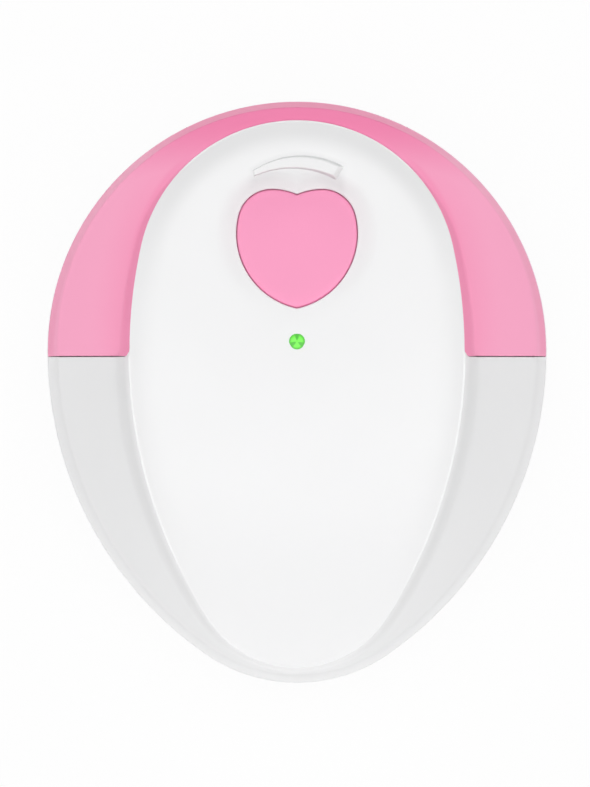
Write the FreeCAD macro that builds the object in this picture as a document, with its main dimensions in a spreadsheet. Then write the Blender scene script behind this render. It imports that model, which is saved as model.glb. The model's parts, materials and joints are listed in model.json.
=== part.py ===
import FreeCAD, Part
import math
import os

import Sketcher

# Pocket fetal doppler monitor.  Millimetres, +Z up, +Y to the broad end.
# The origin is under the middle of the case, on the surface that it stands on.

SIZES = [
    # name, size, what it is
    ("case_top_y", 6.83, "centre of the broad end's arc"),
    ("case_top_radius", 41.36, "half of the case's width"),
    ("case_side_radius", 61.19, "arc of the flanks in plan"),
    ("case_tip_back", 21.42, "centre of the narrow end's arc, towards -Y"),
    ("case_tip_radius", 26.68, "arc of the narrow end in plan"),
    ("base_bottom", 1.0, "height of the flat underside above the table"),
    ("belt_height", 15.5, "height of the seam between the two halves"),
    ("bottom_fillet", 9.0, "round between the underside and the side wall"),
    ("base_wall", 2.0, "wall of the lower half"),
    ("wall_draft", 13.0, "lean of the side wall above the belt, degrees"),
    ("flank_height", 35.8, "highest point of the flanks' dome"),
    ("flank_y", 14.0, "place of that point along the case"),
    ("rim_side", 3.3, "side wall between the belt and the dome, where the case is widest"),
    ("flank_along", 150.0, "dome radius along the case"),
    ("face_height", 37.0, "highest point of the centre panel"),
    ("face_y", 8.0, "place of that point along the case"),
    ("face_across", 95.0, "panel radius across the case"),
    ("face_along", 115.0, "panel radius along the case"),
    ("plinth_level", 33.0, "height at which the plinth's outline is drawn"),
    ("plinth_draft", 27.0, "lean of the wall round the panel, degrees"),
    ("plinth_band", 4.39, "plinth outline: in from the case's broad end"),
    ("plinth_top_radius", 26.08, "plinth outline: broad arc"),
    ("plinth_side_radius", 65.13, "plinth outline: side arcs"),
    ("plinth_tip_back", 24.59, "plinth outline: narrow arc's centre, towards -Y"),
    ("plinth_tip_radius", 16.0, "plinth outline: narrow arc"),
    ("panel_band", 3.31, "panel border: in from the case's broad end"),
    ("panel_top_radius", 26.30, "panel border: broad arc"),
    ("panel_side_radius", 80.53, "panel border: side arcs"),
    ("panel_tip_back", 27.98, "panel border: narrow arc's centre, towards -Y"),
    ("panel_tip_radius", 17.23, "panel border: narrow arc"),
    ("panel_lip", 0.4, "top edge of the cover inside the panel border"),
    ("colour_seam_y", 6.2, "cross seam between the cover and the white flanks"),
    ("cover_wall", 1.8, "wall of the coloured cover"),
    ("seat_wall", 1.6, "white wall under the cover"),
    ("front_wall", 2.0, "wall of the white flanks and the panel"),
    ("dish_y", 24.0, "middle of the thumb dish"),
    ("dish_radius", 150.0, "hollow radius of the thumb dish"),
    ("dish_depth", 2.8, "depth of the thumb dish"),
    ("heart_lobe_x", 4.18, "lobe centre from the middle"),
    ("heart_lobe_y", 27.91, "lobe centre along the case"),
    ("heart_lobe_radius", 5.5, "lobe arc"),
    ("heart_brow_radius", 12.0, "arc from the lobe's top into the notch"),
    ("heart_side_radius", 12.34, "arc from the lobe down to the tip"),
    ("heart_side_x", 2.48, "that arc's centre, beyond the middle"),
    ("heart_gap", 0.3, "gap round the button"),
    ("heart_flange", 1.4, "flange beyond the button's outline"),
    ("heart_flange_wall", 1.2, "thickness of the flange"),
    ("heart_crown_radius", 60.0, "convex radius of the button's top"),
    ("heart_rise", 0.5, "button's top above the dish floor"),
    ("stem_radius", 2.5, "button's stem"),
    ("press_travel", 0.5, "how far the button goes down"),
    ("mark_raise", 0.5, "height of the raised volume mark"),
    ("mark_root", 1.0, "how deep the mark is rooted in the wall"),
    ("mark_left_x", 7.41, "mark: thin end"),
    ("mark_right_x", 7.79, "mark: thick end"),
    ("mark_inner_right_x", 6.34, "mark: foot of the thick end"),
    ("mark_inner_left_x", 7.11, "mark: foot of the thin end"),
    ("mark_outer_left_y", 36.5, "mark: outer curve at the thin end"),
    ("mark_outer_mid_y", 39.02, "mark: outer curve in the middle"),
    ("mark_outer_right_y", 37.2, "mark: outer curve at the thick end"),
    ("mark_inner_left_y", 35.76, "mark: inner curve at the thin end"),
    ("mark_inner_mid_y", 37.09, "mark: inner curve in the middle"),
    ("mark_inner_right_y", 35.39, "mark: inner curve at the thick end"),
    ("light_y", 8.4, "status light along the case"),
    ("light_radius", 1.25, "status light window"),
    ("fit_gap", 0.1, "gap between pieces that only locate each other"),
    ("skirt_drop", 1.2, "locating skirt below the belt"),
    ("skirt_wall", 1.3, "locating skirt's wall"),
    ("boss_rear_inset", 5.26, "case screws at the broad end, in from the broad arc"),
    ("boss_rear_turn", 48.34, "their angle round that arc's centre from X, degrees"),
    ("boss_front_inset", 5.37, "case screws at the narrow end, in from the narrow arc"),
    ("boss_front_turn", 29.76, "their angle round that arc's centre from X, degrees"),
    ("boss_radius", 4.0, "screw boss of the lower half"),
    ("pillar_radius", 3.0, "screw boss of the upper half"),
    ("screw_radius", 1.25, "case screw's shank"),
    ("screw_head_radius", 2.4, "case screw's head"),
    ("screw_head_height", 1.8, "case screw's head height"),
    ("screw_floor", 1.2, "case screws' seats above the base's inner floor"),
    ("screw_bite", 8.0, "case screw's length above the belt"),
    ("screw_gap", 0.1, "gap round shanks and heads"),
    ("battery_end_gap", 1.0, "battery's blunt end in from the door's edge"),
    ("battery_length", 46.4, "9 V block without its terminals"),
    ("battery_width", 26.5, "9 V block"),
    ("battery_thick", 17.5, "9 V block"),
    ("battery_y", 14.2, "middle of the battery and of its door"),
    ("battery_corner", 1.75, "round of the battery's long edges"),
    ("can_skin", 0.4, "battery's steel can"),
    ("cell_radius", 4.1, "cells in the battery"),
    ("cell_spare", 3.1, "room for the contacts at the cells' ends"),
    ("terminal_radius", 3.0, "battery terminal"),
    ("terminal_height", 2.4, "battery terminal"),
    ("terminal_pitch", 12.7, "between the two terminals"),
    ("snap_wall", 0.6, "battery snap clear of the block"),
    ("snap_thick", 4.0, "battery snap"),
    ("snap_width", 21.4, "battery snap"),
    ("snap_height", 9.0, "battery snap"),
    ("door_spare", 1.0, "door's length beyond battery and snap"),
    ("door_side", 1.5, "door beyond each side of the battery"),
    ("door_corner", 3.0, "door's corner radius"),
    ("door_gap", 0.25, "gap round the door"),
    ("tab_reach", 1.2, "door tabs beyond the door's edge"),
    ("tab_thick", 0.9, "door tabs"),
    ("tab_width", 8.0, "door tabs"),
    ("tab_x", 14.0, "door tabs from the middle"),
    ("latch_width", 10.0, "door latch"),
    ("latch_set_back", 0.35, "latch in from the door's edge"),
    ("latch_thick", 1.0, "door latch"),
    ("latch_height", 3.0, "door latch above the door"),
    ("grip_length", 18.0, "grip ribs of the door"),
    ("grip_width", 1.2, "grip ribs of the door"),
    ("grip_pitch", 2.5, "grip ribs of the door"),
    ("grip_inset", 7.95, "first grip rib in from the door's rear edge"),
    ("grip_count", 3, "grip ribs of the door"),
    ("rib_thick", 1.2, "ribs beside the battery"),
    ("rib_length", 18.0, "ribs beside the battery"),
    ("rib_height", 11.0, "ribs beside the battery"),
    ("pad_length", 30.0, "foam pad"),
    ("pad_width", 16.0, "foam pad"),
    ("pad_thick", 1.2, "foam pad"),
    ("probe_back", 21.0, "probe centre, towards -Y"),
    ("probe_radius", 14.5, "probe face"),
    ("probe_gap", 0.25, "gap round the probe face"),
    ("probe_flange", 2.0, "probe flange beyond the face"),
    ("probe_flange_thick", 1.0, "probe flange"),
    ("probe_edge", 0.8, "round at the probe face's edge"),
    ("gasket_thick", 0.5, "probe gasket"),
    ("disc_room", 2.0, "piezo discs in from the cup's wall"),
    ("disc_thick", 1.0, "piezo discs"),
    ("divider_thick", 0.8, "wall between the two half discs"),
    ("backing_thick", 4.0, "damping blocks behind the discs"),
    ("cup_step", 0.7, "probe cup's outside beyond the probe face"),
    ("cup_wall", 1.2, "probe cup wall"),
    ("cup_height", 7.5, "probe cup"),
    ("lead_radius", 0.55, "leads"),
    ("lead_bend", 1.0, "bends of the leads"),
    ("lead_exit", 1.3, "leads out of the snap, from its inner face"),
    ("lead_side", 4.0, "first battery lead from the battery's middle"),
    ("lead_pitch", 3.0, "between the two battery leads"),
    ("lead_rise", 1.05, "battery leads over the board"),
    ("lead_land", 4.0, "battery leads' ends in from the board's edge"),
    ("jumper_x", 4.2, "first jumper lead from the middle"),
    ("jumper_pitch", 1.7, "between the jumper's leads"),
    ("jumper_rise", 2.0, "jumper over the main board"),
    ("jumper_edge", 1.0, "jumper's ends in from the boards' edges"),
    ("board_air", 0.9, "main board above the battery"),
    ("board_thick", 1.6, "main board"),
    ("board_side", 0.6, "main board's edge beyond the battery's end"),
    ("board_back", 18.0, "main board's front edge, towards -Y"),
    ("board_apart", 3.2, "between the two boards' edges"),
    ("post_rear_inset", 3.0, "rear board posts in from the board's sides"),
    ("post_front_inset", 7.0, "front board posts in from the board's sides"),
    ("post_rear_edge", 3.3, "rear board posts in from the board's rear edge"),
    ("post_front_edge", 4.0, "front board posts in from the board's front edge"),
    ("post_radius", 2.2, "board posts"),
    ("small_screw_radius", 0.9, "board screws"),
    ("small_head_radius", 1.7, "board screws' heads"),
    ("small_head_height", 0.8, "board screws' heads"),
    ("small_bite", 3.0, "board screws beyond the board"),
    ("switch_size", 6.0, "tact switch"),
    ("switch_height", 3.5, "tact switch"),
    ("plunger_radius", 1.6, "switch plunger"),
    ("plunger_out", 0.7, "plunger above the switch"),
    ("plunger_in", 1.0, "plunger inside the switch"),
    ("plunger_room", 0.2, "plunger's side clearance and spare depth"),
    ("package_height", 1.6, "chips"),
    ("package_width", 6.0, "chips"),
    ("audio_length", 10.0, "audio chip"),
    ("audio_left", 9.0, "audio chip's middle, towards -X"),
    ("audio_y", 3.0, "audio chip's middle"),
    ("driver_length", 8.0, "driver chip"),
    ("driver_x", 8.0, "driver chip's middle"),
    ("driver_back", 6.0, "driver chip's middle, towards -Y"),
    ("leg_lift", 0.1, "chips above the board"),
    ("leg_reach", 1.0, "chips' legs beyond the package"),
    ("leg_width", 0.5, "chips' legs"),
    ("leg_thick", 0.4, "chips' legs"),
    ("leg_pitch", 1.27, "chips' legs"),
    ("cap_height", 4.0, "capacitors"),
    ("cap_radius", 2.5, "two large capacitors"),
    ("cap_x", 11.0, "capacitors from the middle"),
    ("cap_y", 6.0, "first large capacitor"),
    ("cap_pitch", 7.0, "between the large capacitors"),
    ("small_cap_radius", 2.0, "small capacitor"),
    ("small_cap_y", 14.0, "small capacitor"),
    ("crystal_length", 8.0, "crystal"),
    ("crystal_width", 3.5, "crystal"),
    ("crystal_height", 2.2, "crystal"),
    ("crystal_left", 6.0, "crystal's middle, towards -X"),
    ("crystal_back", 10.25, "crystal's middle, towards -Y"),
    ("rear_board_thick", 1.2, "rear board"),
    ("rear_board_spare", 0.5, "rear board beyond the sockets' blocks"),
    ("rear_board_inset", 4.4, "rear board in from the case's outline"),
    ("rear_post_x", 10.5, "rear board's posts"),
    ("rear_post_back", 6.9, "rear board's posts, towards -Y from the wheel's axis"),
    ("rear_post_radius", 1.9, "rear board's posts"),
    ("wheel_shy", 0.49, "wheel's rim in from the case's broad end"),
    ("wheel_radius", 8.6, "volume wheel"),
    ("wheel_thick", 2.6, "volume wheel"),
    ("wheel_notches", 24, "grooves in the wheel's rim"),
    ("notch_radius", 0.6, "grooves in the wheel's rim"),
    ("wheel_gap", 0.15, "gap above and below the wheel"),
    ("spindle_radius", 1.5, "pot spindle"),
    ("spindle_play", 0.05, "running clearance of the wheel"),
    ("pot_radius", 5.0, "volume pot"),
    ("pot_height", 2.4, "volume pot"),
    ("washer_radius", 3.0, "washer that keeps the wheel on"),
    ("washer_thick", 0.5, "washer that keeps the wheel on"),
    ("slot_half", 7.6, "wheel slot, half width"),
    ("slot_gap", 0.5, "wheel slot above and below the wheel"),
    ("scoop_radius", 16.0, "finger scoop round the slot"),
    ("scoop_depth", 1.1, "finger scoop round the slot"),
    ("jack_x", 16.0, "headphone sockets from the middle"),
    ("jack_height", 11.2, "height of the sockets' axes"),
    ("jack_bore", 1.8, "socket bore for a 3.5 mm plug"),
    ("jack_depth", 13.0, "length of the bore"),
    ("jack_shy", 7.99, "sockets' blocks in from the case's broad end"),
    ("jack_length", 10.0, "socket block"),
    ("jack_width", 6.0, "socket block"),
    ("jack_half", 2.5, "socket block, half height"),
    ("jack_nose", 2.4, "socket nose radius"),
    ("jack_nose_length", 3.8, "socket nose"),
    ("jack_nose_root", 1.0, "socket nose inside its block"),
    ("jack_room", 0.5, "hole in the case round the nose"),
    ("overrun", 10.0, "how far cutting shapes run past what they cut"),
]

# places and sizes that follow from the ones above
FOLLOWS = {
    "case_rear": "case_top_y + case_top_radius",
    "flank_rise": "flank_height - belt_height - rim_side",
    "flank_across": "(case_top_radius ^ 2 + flank_rise ^ 2) / (2 * flank_rise)",
    "plinth_top_y": "case_rear - plinth_band - plinth_top_radius",
    "panel_top_y": "case_rear - panel_band - panel_top_radius",
    "boss_rear_x": "(case_top_radius - boss_rear_inset) * cos(boss_rear_turn)",
    "boss_rear_y": "case_top_y + (case_top_radius - boss_rear_inset) * sin(boss_rear_turn)",
    "boss_front_x": "(case_tip_radius - boss_front_inset) * cos(boss_front_turn)",
    "boss_front_back": "case_tip_back + (case_tip_radius - boss_front_inset) * sin(boss_front_turn)",
    "screw_seat": "base_bottom + base_wall + screw_floor",
    "door_length": "battery_length + snap_wall + snap_thick + door_spare",
    "door_width": "battery_width + 2 * door_side",
    "grip_y": "battery_y + door_width / 2 - grip_inset",
    "battery_left": "door_length / 2 - battery_end_gap",
    "battery_right": "battery_length - battery_left",
    "battery_bottom": "base_bottom + base_wall + pad_thick",
    "battery_middle": "battery_bottom + battery_thick / 2",
    "cell_length": "battery_length - 2 * can_skin - cell_spare",
    "cup_radius": "probe_radius + cup_step",
    "disc_radius": "cup_radius - cup_wall - disc_room",
    "board_bottom": "battery_bottom + battery_thick + board_air",
    "board_top": "board_bottom + board_thick",
    "board_half": "battery_right + board_side",
    "board_front": "rear_board_y - board_apart",
    "post_rear_x": "board_half - post_rear_inset",
    "post_rear_y": "board_front - post_rear_edge",
    "post_front_x": "board_half - post_front_inset",
    "post_front_back": "board_back - post_front_edge",
    "wheel_y": "case_rear - wheel_shy - wheel_radius",
    "wheel_top": "rear_board_bottom - pot_height - wheel_gap",
    "rear_board_bottom": "jack_height + jack_half",
    "rear_board_half": "jack_x + jack_width / 2 + rear_board_spare",
    "rear_board_y": "wheel_y - wheel_radius",
    "rear_post_y": "wheel_y - rear_post_back",
    "jack_front": "case_rear - jack_shy",
    "jack_back": "jack_front - jack_length",
    "jack_hole": "jack_nose + jack_room",
}

doc = FreeCAD.newDocument("DopplerMonitor")
sheet = doc.addObject("Spreadsheet::Sheet", "Dims")
for row, (alias, size, note) in enumerate(SIZES, start=1):
    sheet.set("A%d" % row, note)
    sheet.set("B%d" % row, str(size))
    sheet.setAlias("B%d" % row, alias)
doc.recompute()

ALIASES = [entry[0] for entry in SIZES]


def of_sheet(words):
    """Turns words such as 'base_wall + 1' into an expression on the sheet."""
    parts = []
    token = ""
    for letter in str(words) + " ":
        if letter.isalnum() or letter == "_" or letter == ".":
            token += letter
            continue
        if token in FOLLOWS:
            token = "(%s)" % of_sheet(FOLLOWS[token])
        elif token in ALIASES:
            token = "Dims." + token
        parts.append(token + letter)
        token = ""
    return "".join(parts).strip()


def number(words):
    """The value that an expression has now."""
    return float(sheet.evalExpression(of_sheet(words)))


def bind(thing, **properties):
    """Ties properties to the sheet; x_, y_ and z_ are the placement's."""
    for name, words in properties.items():
        path = {"x_": "Placement.Base.x", "y_": "Placement.Base.y", "z_": "Placement.Base.z"}.get(name, name)
        thing.setExpression(path, of_sheet(words))
    return thing


# ---- PartDesign helpers ----

def new_body(label):
    body = doc.addObject("PartDesign::Body", label)
    body.Label = label
    return body


def new_sketch(body, role, along="0", up="0"):
    """A sketch on one of the body's origin planes, moved along its normal and up."""
    plane = next(item for item in body.Origin.OriginFeatures if item.Role == role)
    sketch = body.newObject("Sketcher::SketchObject", body.Name + "Sketch")
    sketch.AttachmentSupport = [(plane, "")]
    sketch.MapMode = "FlatFace"
    sketch.setExpression("AttachmentOffset.Base.z", of_sheet(along))
    sketch.setExpression("AttachmentOffset.Base.y", of_sheet(up))
    return sketch


def constrain(sketch, kind, *where, size=None):
    """Adds a constraint and ties its size, if it has one, to the sheet."""
    if size is None:
        return sketch.addConstraint(Sketcher.Constraint(kind, *where))
    index = sketch.addConstraint(Sketcher.Constraint(kind, *where, number(size)))
    sketch.setExpression("Constraints[%d]" % index, of_sheet(size))
    return index


def arc(sketch, x, y, radius, start, end):
    circle = Part.Circle(FreeCAD.Vector(x, y, 0), FreeCAD.Vector(0, 0, 1), radius)
    return sketch.addGeometry(Part.ArcOfCircle(circle, start, end))


def line(sketch, x1, y1, x2, y2):
    return sketch.addGeometry(Part.LineSegment(FreeCAD.Vector(x1, y1, 0), FreeCAD.Vector(x2, y2, 0)))


def pad(body, sketch, length, taper=None, down=False):
    feature = body.newObject("PartDesign::Pad", body.Name + "Pad")
    feature.Profile = sketch
    feature.Reversed = down
    bind(feature, Length=length)
    if taper is not None:
        bind(feature, TaperAngle=taper)
    return feature


def pocket(body, sketch, length, up=False):
    feature = body.newObject("PartDesign::Pocket", body.Name + "Pocket")
    feature.Profile = sketch
    feature.Reversed = up
    bind(feature, Length=length)
    return feature


def round_edges(body, feature, radius, height):
    """Rounds the edges of the last feature that lie at one height."""
    doc.recompute()
    level = number(height)
    edges = feature.Shape.Edges
    names = []
    for index, edge in enumerate(edges, start=1):
        box = edge.BoundBox
        if abs(box.ZMin - level) < 0.01 and abs(box.ZMax - level) < 0.01:
            names.append("Edge%d" % index)
    fillet = body.newObject("PartDesign::Fillet", body.Name + "Round")
    fillet.Base = (feature, names)
    bind(fillet, Radius=radius)
    return fillet


def add_egg(sketch, family, inset="0"):
    """Egg outline of four tangent arcs, a broad one, two sides and a tip."""
    top_y = number(family + "_top_y")
    tip_y = -number(family + "_tip_back")
    top = number("%s_top_radius - (%s)" % (family, inset))
    side = number("%s_side_radius - (%s)" % (family, inset))
    tip = number("%s_tip_radius - (%s)" % (family, inset))
    # the side arc's centre lies side - top from one centre and side - tip from the other
    span = top_y - tip_y
    below = ((side - top) ** 2 - (side - tip) ** 2 + span ** 2) / (2 * span)
    off = math.sqrt((side - top) ** 2 - below ** 2)
    side_y = top_y - below
    high = math.atan2(top_y - side_y, off)
    low = math.atan2(tip_y - side_y, off)
    arc(sketch, 0, top_y, top, high, math.pi - high)
    arc(sketch, -off, side_y, side, low, high)
    arc(sketch, off, side_y, side, math.pi - high, math.pi - low)
    arc(sketch, 0, tip_y, tip, math.pi - low, 2 * math.pi + low)
    constrain(sketch, "Tangent", 0, 1, 1, 2)
    constrain(sketch, "Tangent", 0, 2, 2, 1)
    constrain(sketch, "Tangent", 2, 2, 3, 1)
    constrain(sketch, "Tangent", 3, 2, 1, 1)
    constrain(sketch, "PointOnObject", 0, 3, -2)
    constrain(sketch, "PointOnObject", 3, 3, -2)
    constrain(sketch, "Equal", 1, 2)
    constrain(sketch, "DistanceY", -1, 1, 0, 3, size=family + "_top_y")
    constrain(sketch, "DistanceY", 3, 3, -1, 1, size=family + "_tip_back")
    constrain(sketch, "Radius", 0, size="%s_top_radius - (%s)" % (family, inset))
    constrain(sketch, "Radius", 1, size="%s_side_radius - (%s)" % (family, inset))
    constrain(sketch, "Radius", 3, size="%s_tip_radius - (%s)" % (family, inset))


def egg_prism(label, family, inset, bottom, height, taper=None, down=False):
    body = new_body(label)
    sketch = new_sketch(body, "XY_Plane", bottom)
    add_egg(sketch, family, inset)
    pad(body, sketch, height, taper, down)
    return body


def add_half_heart(sketch, outset):
    """Right half of the heart: brow, lobe and side arcs, closed along the middle."""
    lobe_x = number("heart_lobe_x")
    lobe_y = number("heart_lobe_y")
    lobe = number("heart_lobe_radius + " + outset)
    brow = number("heart_brow_radius + " + outset)
    side = number("heart_side_radius + " + outset)
    side_x = -number("heart_side_x")
    brow_y = lobe_y + lobe - brow
    side_y = lobe_y - math.sqrt((side - lobe) ** 2 - (lobe_x - side_x) ** 2)
    join = math.atan2(lobe_y - side_y, lobe_x - side_x)
    notch = math.acos(-lobe_x / brow)
    tip = -math.acos(-side_x / side)
    arc(sketch, lobe_x, brow_y, brow, math.pi / 2, notch)
    arc(sketch, lobe_x, lobe_y, lobe, join, math.pi / 2)
    arc(sketch, side_x, side_y, side, tip, join)
    line(sketch, 0, side_y + side * math.sin(tip), 0, brow_y + brow * math.sin(notch))
    constrain(sketch, "Tangent", 0, 1, 1, 2)
    constrain(sketch, "Tangent", 1, 1, 2, 2)
    constrain(sketch, "Coincident", 2, 1, 3, 1)
    constrain(sketch, "Coincident", 3, 2, 0, 2)
    constrain(sketch, "PointOnObject", 3, 1, -2)
    constrain(sketch, "PointOnObject", 3, 2, -2)
    constrain(sketch, "DistanceX", -1, 1, 1, 3, size="heart_lobe_x")
    constrain(sketch, "DistanceY", -1, 1, 1, 3, size="heart_lobe_y")
    constrain(sketch, "DistanceX", -1, 1, 0, 3, size="heart_lobe_x")
    constrain(sketch, "DistanceX", 2, 3, -1, 1, size="heart_side_x")
    constrain(sketch, "Radius", 0, size="heart_brow_radius + " + outset)
    constrain(sketch, "Radius", 1, size="heart_lobe_radius + " + outset)
    constrain(sketch, "Radius", 2, size="heart_side_radius + " + outset)


def heart_prism(label, outset):
    """A heart-shaped prism that runs up through the panel."""
    body = new_body(label)
    sketch = new_sketch(body, "XY_Plane", "belt_height")
    add_half_heart(sketch, outset)
    half = pad(body, sketch, "face_height + overrun - belt_height")
    mirrored = body.newObject("PartDesign::Mirrored", label + "Mirror")
    mirrored.Originals = [half]
    mirrored.MirrorPlane = (sketch, ["V_Axis"])
    body.Tip = mirrored
    return body


def dome(label, family, inset="0"):
    """A barrel-shaped solid, turned about a line along Y, that gives a top surface."""
    body = new_body(label)
    sketch = new_sketch(body, "YZ_Plane", up="%s_height - %s_across" % (family, family))
    middle = number(family + "_y")
    radius = number("%s_along - (%s)" % (family, inset))
    sink = number("%s_along - %s_across" % (family, family))
    reach_words = "case_rear + overrun"
    reach = number(reach_words)
    right = math.asin((reach - middle) / radius)
    left = math.asin((reach + middle) / radius)
    end_right = radius * math.cos(right) - sink
    end_left = radius * math.cos(left) - sink
    # the profile is drawn below the axis, so that the turned surface's seam is underneath
    arc(sketch, middle, sink, radius, -math.pi / 2 - left, -math.pi / 2 + right)
    line(sketch, reach, -end_right, reach, 0)
    line(sketch, reach, 0, -reach, 0)
    line(sketch, -reach, 0, -reach, -end_left)
    constrain(sketch, "Coincident", 0, 2, 1, 1)
    constrain(sketch, "Coincident", 1, 2, 2, 1)
    constrain(sketch, "Coincident", 2, 2, 3, 1)
    constrain(sketch, "Coincident", 3, 2, 0, 1)
    constrain(sketch, "Vertical", 1)
    constrain(sketch, "Vertical", 3)
    constrain(sketch, "PointOnObject", 2, 1, -1)
    constrain(sketch, "PointOnObject", 2, 2, -1)
    constrain(sketch, "DistanceX", -1, 1, 2, 1, size=reach_words)
    constrain(sketch, "DistanceX", 2, 2, -1, 1, size=reach_words)
    constrain(sketch, "DistanceX", -1, 1, 0, 3, size=family + "_y")
    constrain(sketch, "DistanceY", -1, 1, 0, 3, size="%s_along - %s_across" % (family, family))
    constrain(sketch, "Radius", 0, size="%s_along - (%s)" % (family, inset))
    turned = body.newObject("PartDesign::Revolution", label + "Turn")
    turned.Profile = sketch
    turned.ReferenceAxis = (sketch, ["H_Axis"])
    turned.Angle = 360
    return body


# ---- Part helpers ----

def box(name, x1, x2, y1, y2, z1, z2):
    """A block between two corners, each side given by words."""
    block = doc.addObject("Part::Box", name)
    bind(block, Length="(%s) - (%s)" % (x2, x1), Width="(%s) - (%s)" % (y2, y1),
         Height="(%s) - (%s)" % (z2, z1), x_=x1, y_=y1, z_=z1)
    return block


def rod(name, x, y, z1, z2, radius):
    """An upright cylinder."""
    cylinder = doc.addObject("Part::Cylinder", name)
    bind(cylinder, Radius=radius, Height="(%s) - (%s)" % (z2, z1), x_=x, y_=y, z_=z1)
    return cylinder


def rod_along_y(name, x, z, y1, y2, radius):
    """A cylinder that points to the broad end."""
    cylinder = doc.addObject("Part::Cylinder", name)
    cylinder.Placement.Rotation = FreeCAD.Rotation(FreeCAD.Vector(1, 0, 0), -90)
    bind(cylinder, Radius=radius, Height="(%s) - (%s)" % (y2, y1), x_=x, y_=y1, z_=z)
    return cylinder


def rod_along_x(name, x1, x2, y, z, radius):
    """A cylinder that points to +X."""
    cylinder = doc.addObject("Part::Cylinder", name)
    cylinder.Placement.Rotation = FreeCAD.Rotation(FreeCAD.Vector(0, 1, 0), 90)
    bind(cylinder, Radius=radius, Height="(%s) - (%s)" % (x2, x1), x_=x1, y_=y, z_=z)
    return cylinder


def face_ball(name, radius, distance):
    """A ball centred on the line that stands on the panel at the dish.

    The panel's profile is an arc, so its centre, the dish's middle and the
    ball's centre share a line that leans by the arc's slope at dish_y."""
    ball = doc.addObject("Part::Sphere", name)
    # poles to the sides and seam on top, away from what the ball cuts
    ball.Placement.Rotation = FreeCAD.Rotation(FreeCAD.Vector(0, 1, 0), -90)
    lean = "((dish_y - face_y) / face_along)"
    bind(ball, Radius=radius,
         y_="face_y + (%s) * %s" % (distance, lean),
         z_="face_height - face_along + (%s) * sqrt(1 - %s * %s)" % (distance, lean, lean))
    return ball


def fuse(name, *pieces):
    joined = doc.addObject("Part::MultiFuse", name)
    joined.Shapes = list(pieces)
    return joined


def common(name, *pieces):
    shared = doc.addObject("Part::MultiCommon", name)
    shared.Shapes = list(pieces)
    return shared


def cut(name, base, *tools):
    tool = tools[0] if len(tools) == 1 else fuse(name + "Tools", *tools)
    result = doc.addObject("Part::Cut", name)
    result.Base = base
    result.Tool = tool
    return result


def group(name, *pieces):
    """Separate solids that share one node."""
    compound = doc.addObject("Part::Compound", name)
    compound.Links = list(pieces)
    return compound


def lead_shape(points, bend, radius):
    """A round lead along straight runs that tangent arcs join."""
    edges = []
    start = points[0]
    for corner, after in zip(points[1:], points[2:]):
        into = (corner - start).normalize()
        out = (after - corner).normalize()
        turn = into.getAngle(out)
        back = bend * math.tan(turn / 2)
        first = corner - into * back
        last = corner + out * back
        middle = corner + (out - into).normalize() * (bend / math.cos(turn / 2) - bend)
        edges.append(Part.LineSegment(start, first).toShape())
        edges.append(Part.Arc(first, middle, last).toShape())
        start = last
    edges.append(Part.LineSegment(start, points[-1]).toShape())
    path = Part.Wire(edges)
    direction = points[1] - points[0]
    ring = Part.Wire([Part.Circle(points[0], direction, radius).toShape()])
    return path.makePipeShell([ring], True, False)


def lead(label, runs):
    """One node of leads; each run is a list of points given by words."""
    shapes = []
    for run in runs:
        points = [FreeCAD.Vector(*[number(words) for words in point]) for point in run]
        shapes.append(lead_shape(points, number("lead_bend"), number("lead_radius")))
    feature = doc.addObject("Part::Feature", label)
    feature.Shape = shapes[0] if len(shapes) == 1 else Part.makeCompound(shapes)
    return feature


BOSSES = [
    ("boss_rear_x", "boss_rear_y"),
    ("-boss_rear_x", "boss_rear_y"),
    ("boss_front_x", "-boss_front_back"),
    ("-boss_front_x", "-boss_front_back"),
]
POSTS = [
    ("post_rear_x", "post_rear_y"),
    ("-post_rear_x", "post_rear_y"),
    ("post_front_x", "-post_front_back"),
    ("-post_front_x", "-post_front_back"),
]
REAR_POSTS = [("rear_post_x", "rear_post_y"), ("-rear_post_x", "rear_post_y")]


def rods(name, places, z1, z2, radius):
    return [rod("%s%d" % (name, index), x, y, z1, z2, radius) for index, (x, y) in enumerate(places)]


# ---- forms that several pieces share ----

ABOVE = "face_height + overrun"
rim_outer = egg_prism("RimOuter", "case", "0", "belt_height", ABOVE + " - belt_height", "-wall_draft")
rim_seat = egg_prism("RimSeat", "case", "cover_wall", "belt_height", ABOVE + " - belt_height", "-wall_draft")
rim_inner = egg_prism("RimInner", "case", "cover_wall + seat_wall", "belt_height",
                      ABOVE + " - belt_height", "-wall_draft")
flank_outer = dome("FlankOuter", "flank")
flank_seat = dome("FlankSeat", "flank", "cover_wall")
flank_front_inner = dome("FlankFrontInner", "flank", "front_wall")
flank_rear_inner = dome("FlankRearInner", "flank", "cover_wall + seat_wall")
face_outer = dome("FaceOuter", "face")
face_inner = dome("FaceInner", "face", "front_wall")
dish_line = "face_along + dish_radius - dish_depth"
dish_ball = face_ball("DishBall", "dish_radius", dish_line)
dish_under = face_ball("DishUnder", "dish_radius + front_wall", dish_line)
base_outer = egg_prism("BaseOuter", "case", "0", "base_bottom", "belt_height - base_bottom")
round_edges(base_outer, base_outer.Tip, "bottom_fillet", "base_bottom")


def make_plinth():
    """Raised panel: a block with leaning sides under the panel's dome."""
    body = new_body("PlinthBlock")
    flare = new_sketch(body, "XY_Plane", "plinth_level")
    add_egg(flare, "plinth")
    pad(body, flare, "plinth_level - belt_height", "plinth_draft", down=True)
    upper = new_sketch(body, "XY_Plane", "plinth_level")
    add_egg(upper, "plinth")
    pad(body, upper, ABOVE + " - plinth_level")
    return common("Plinth", body, face_outer)


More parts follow.
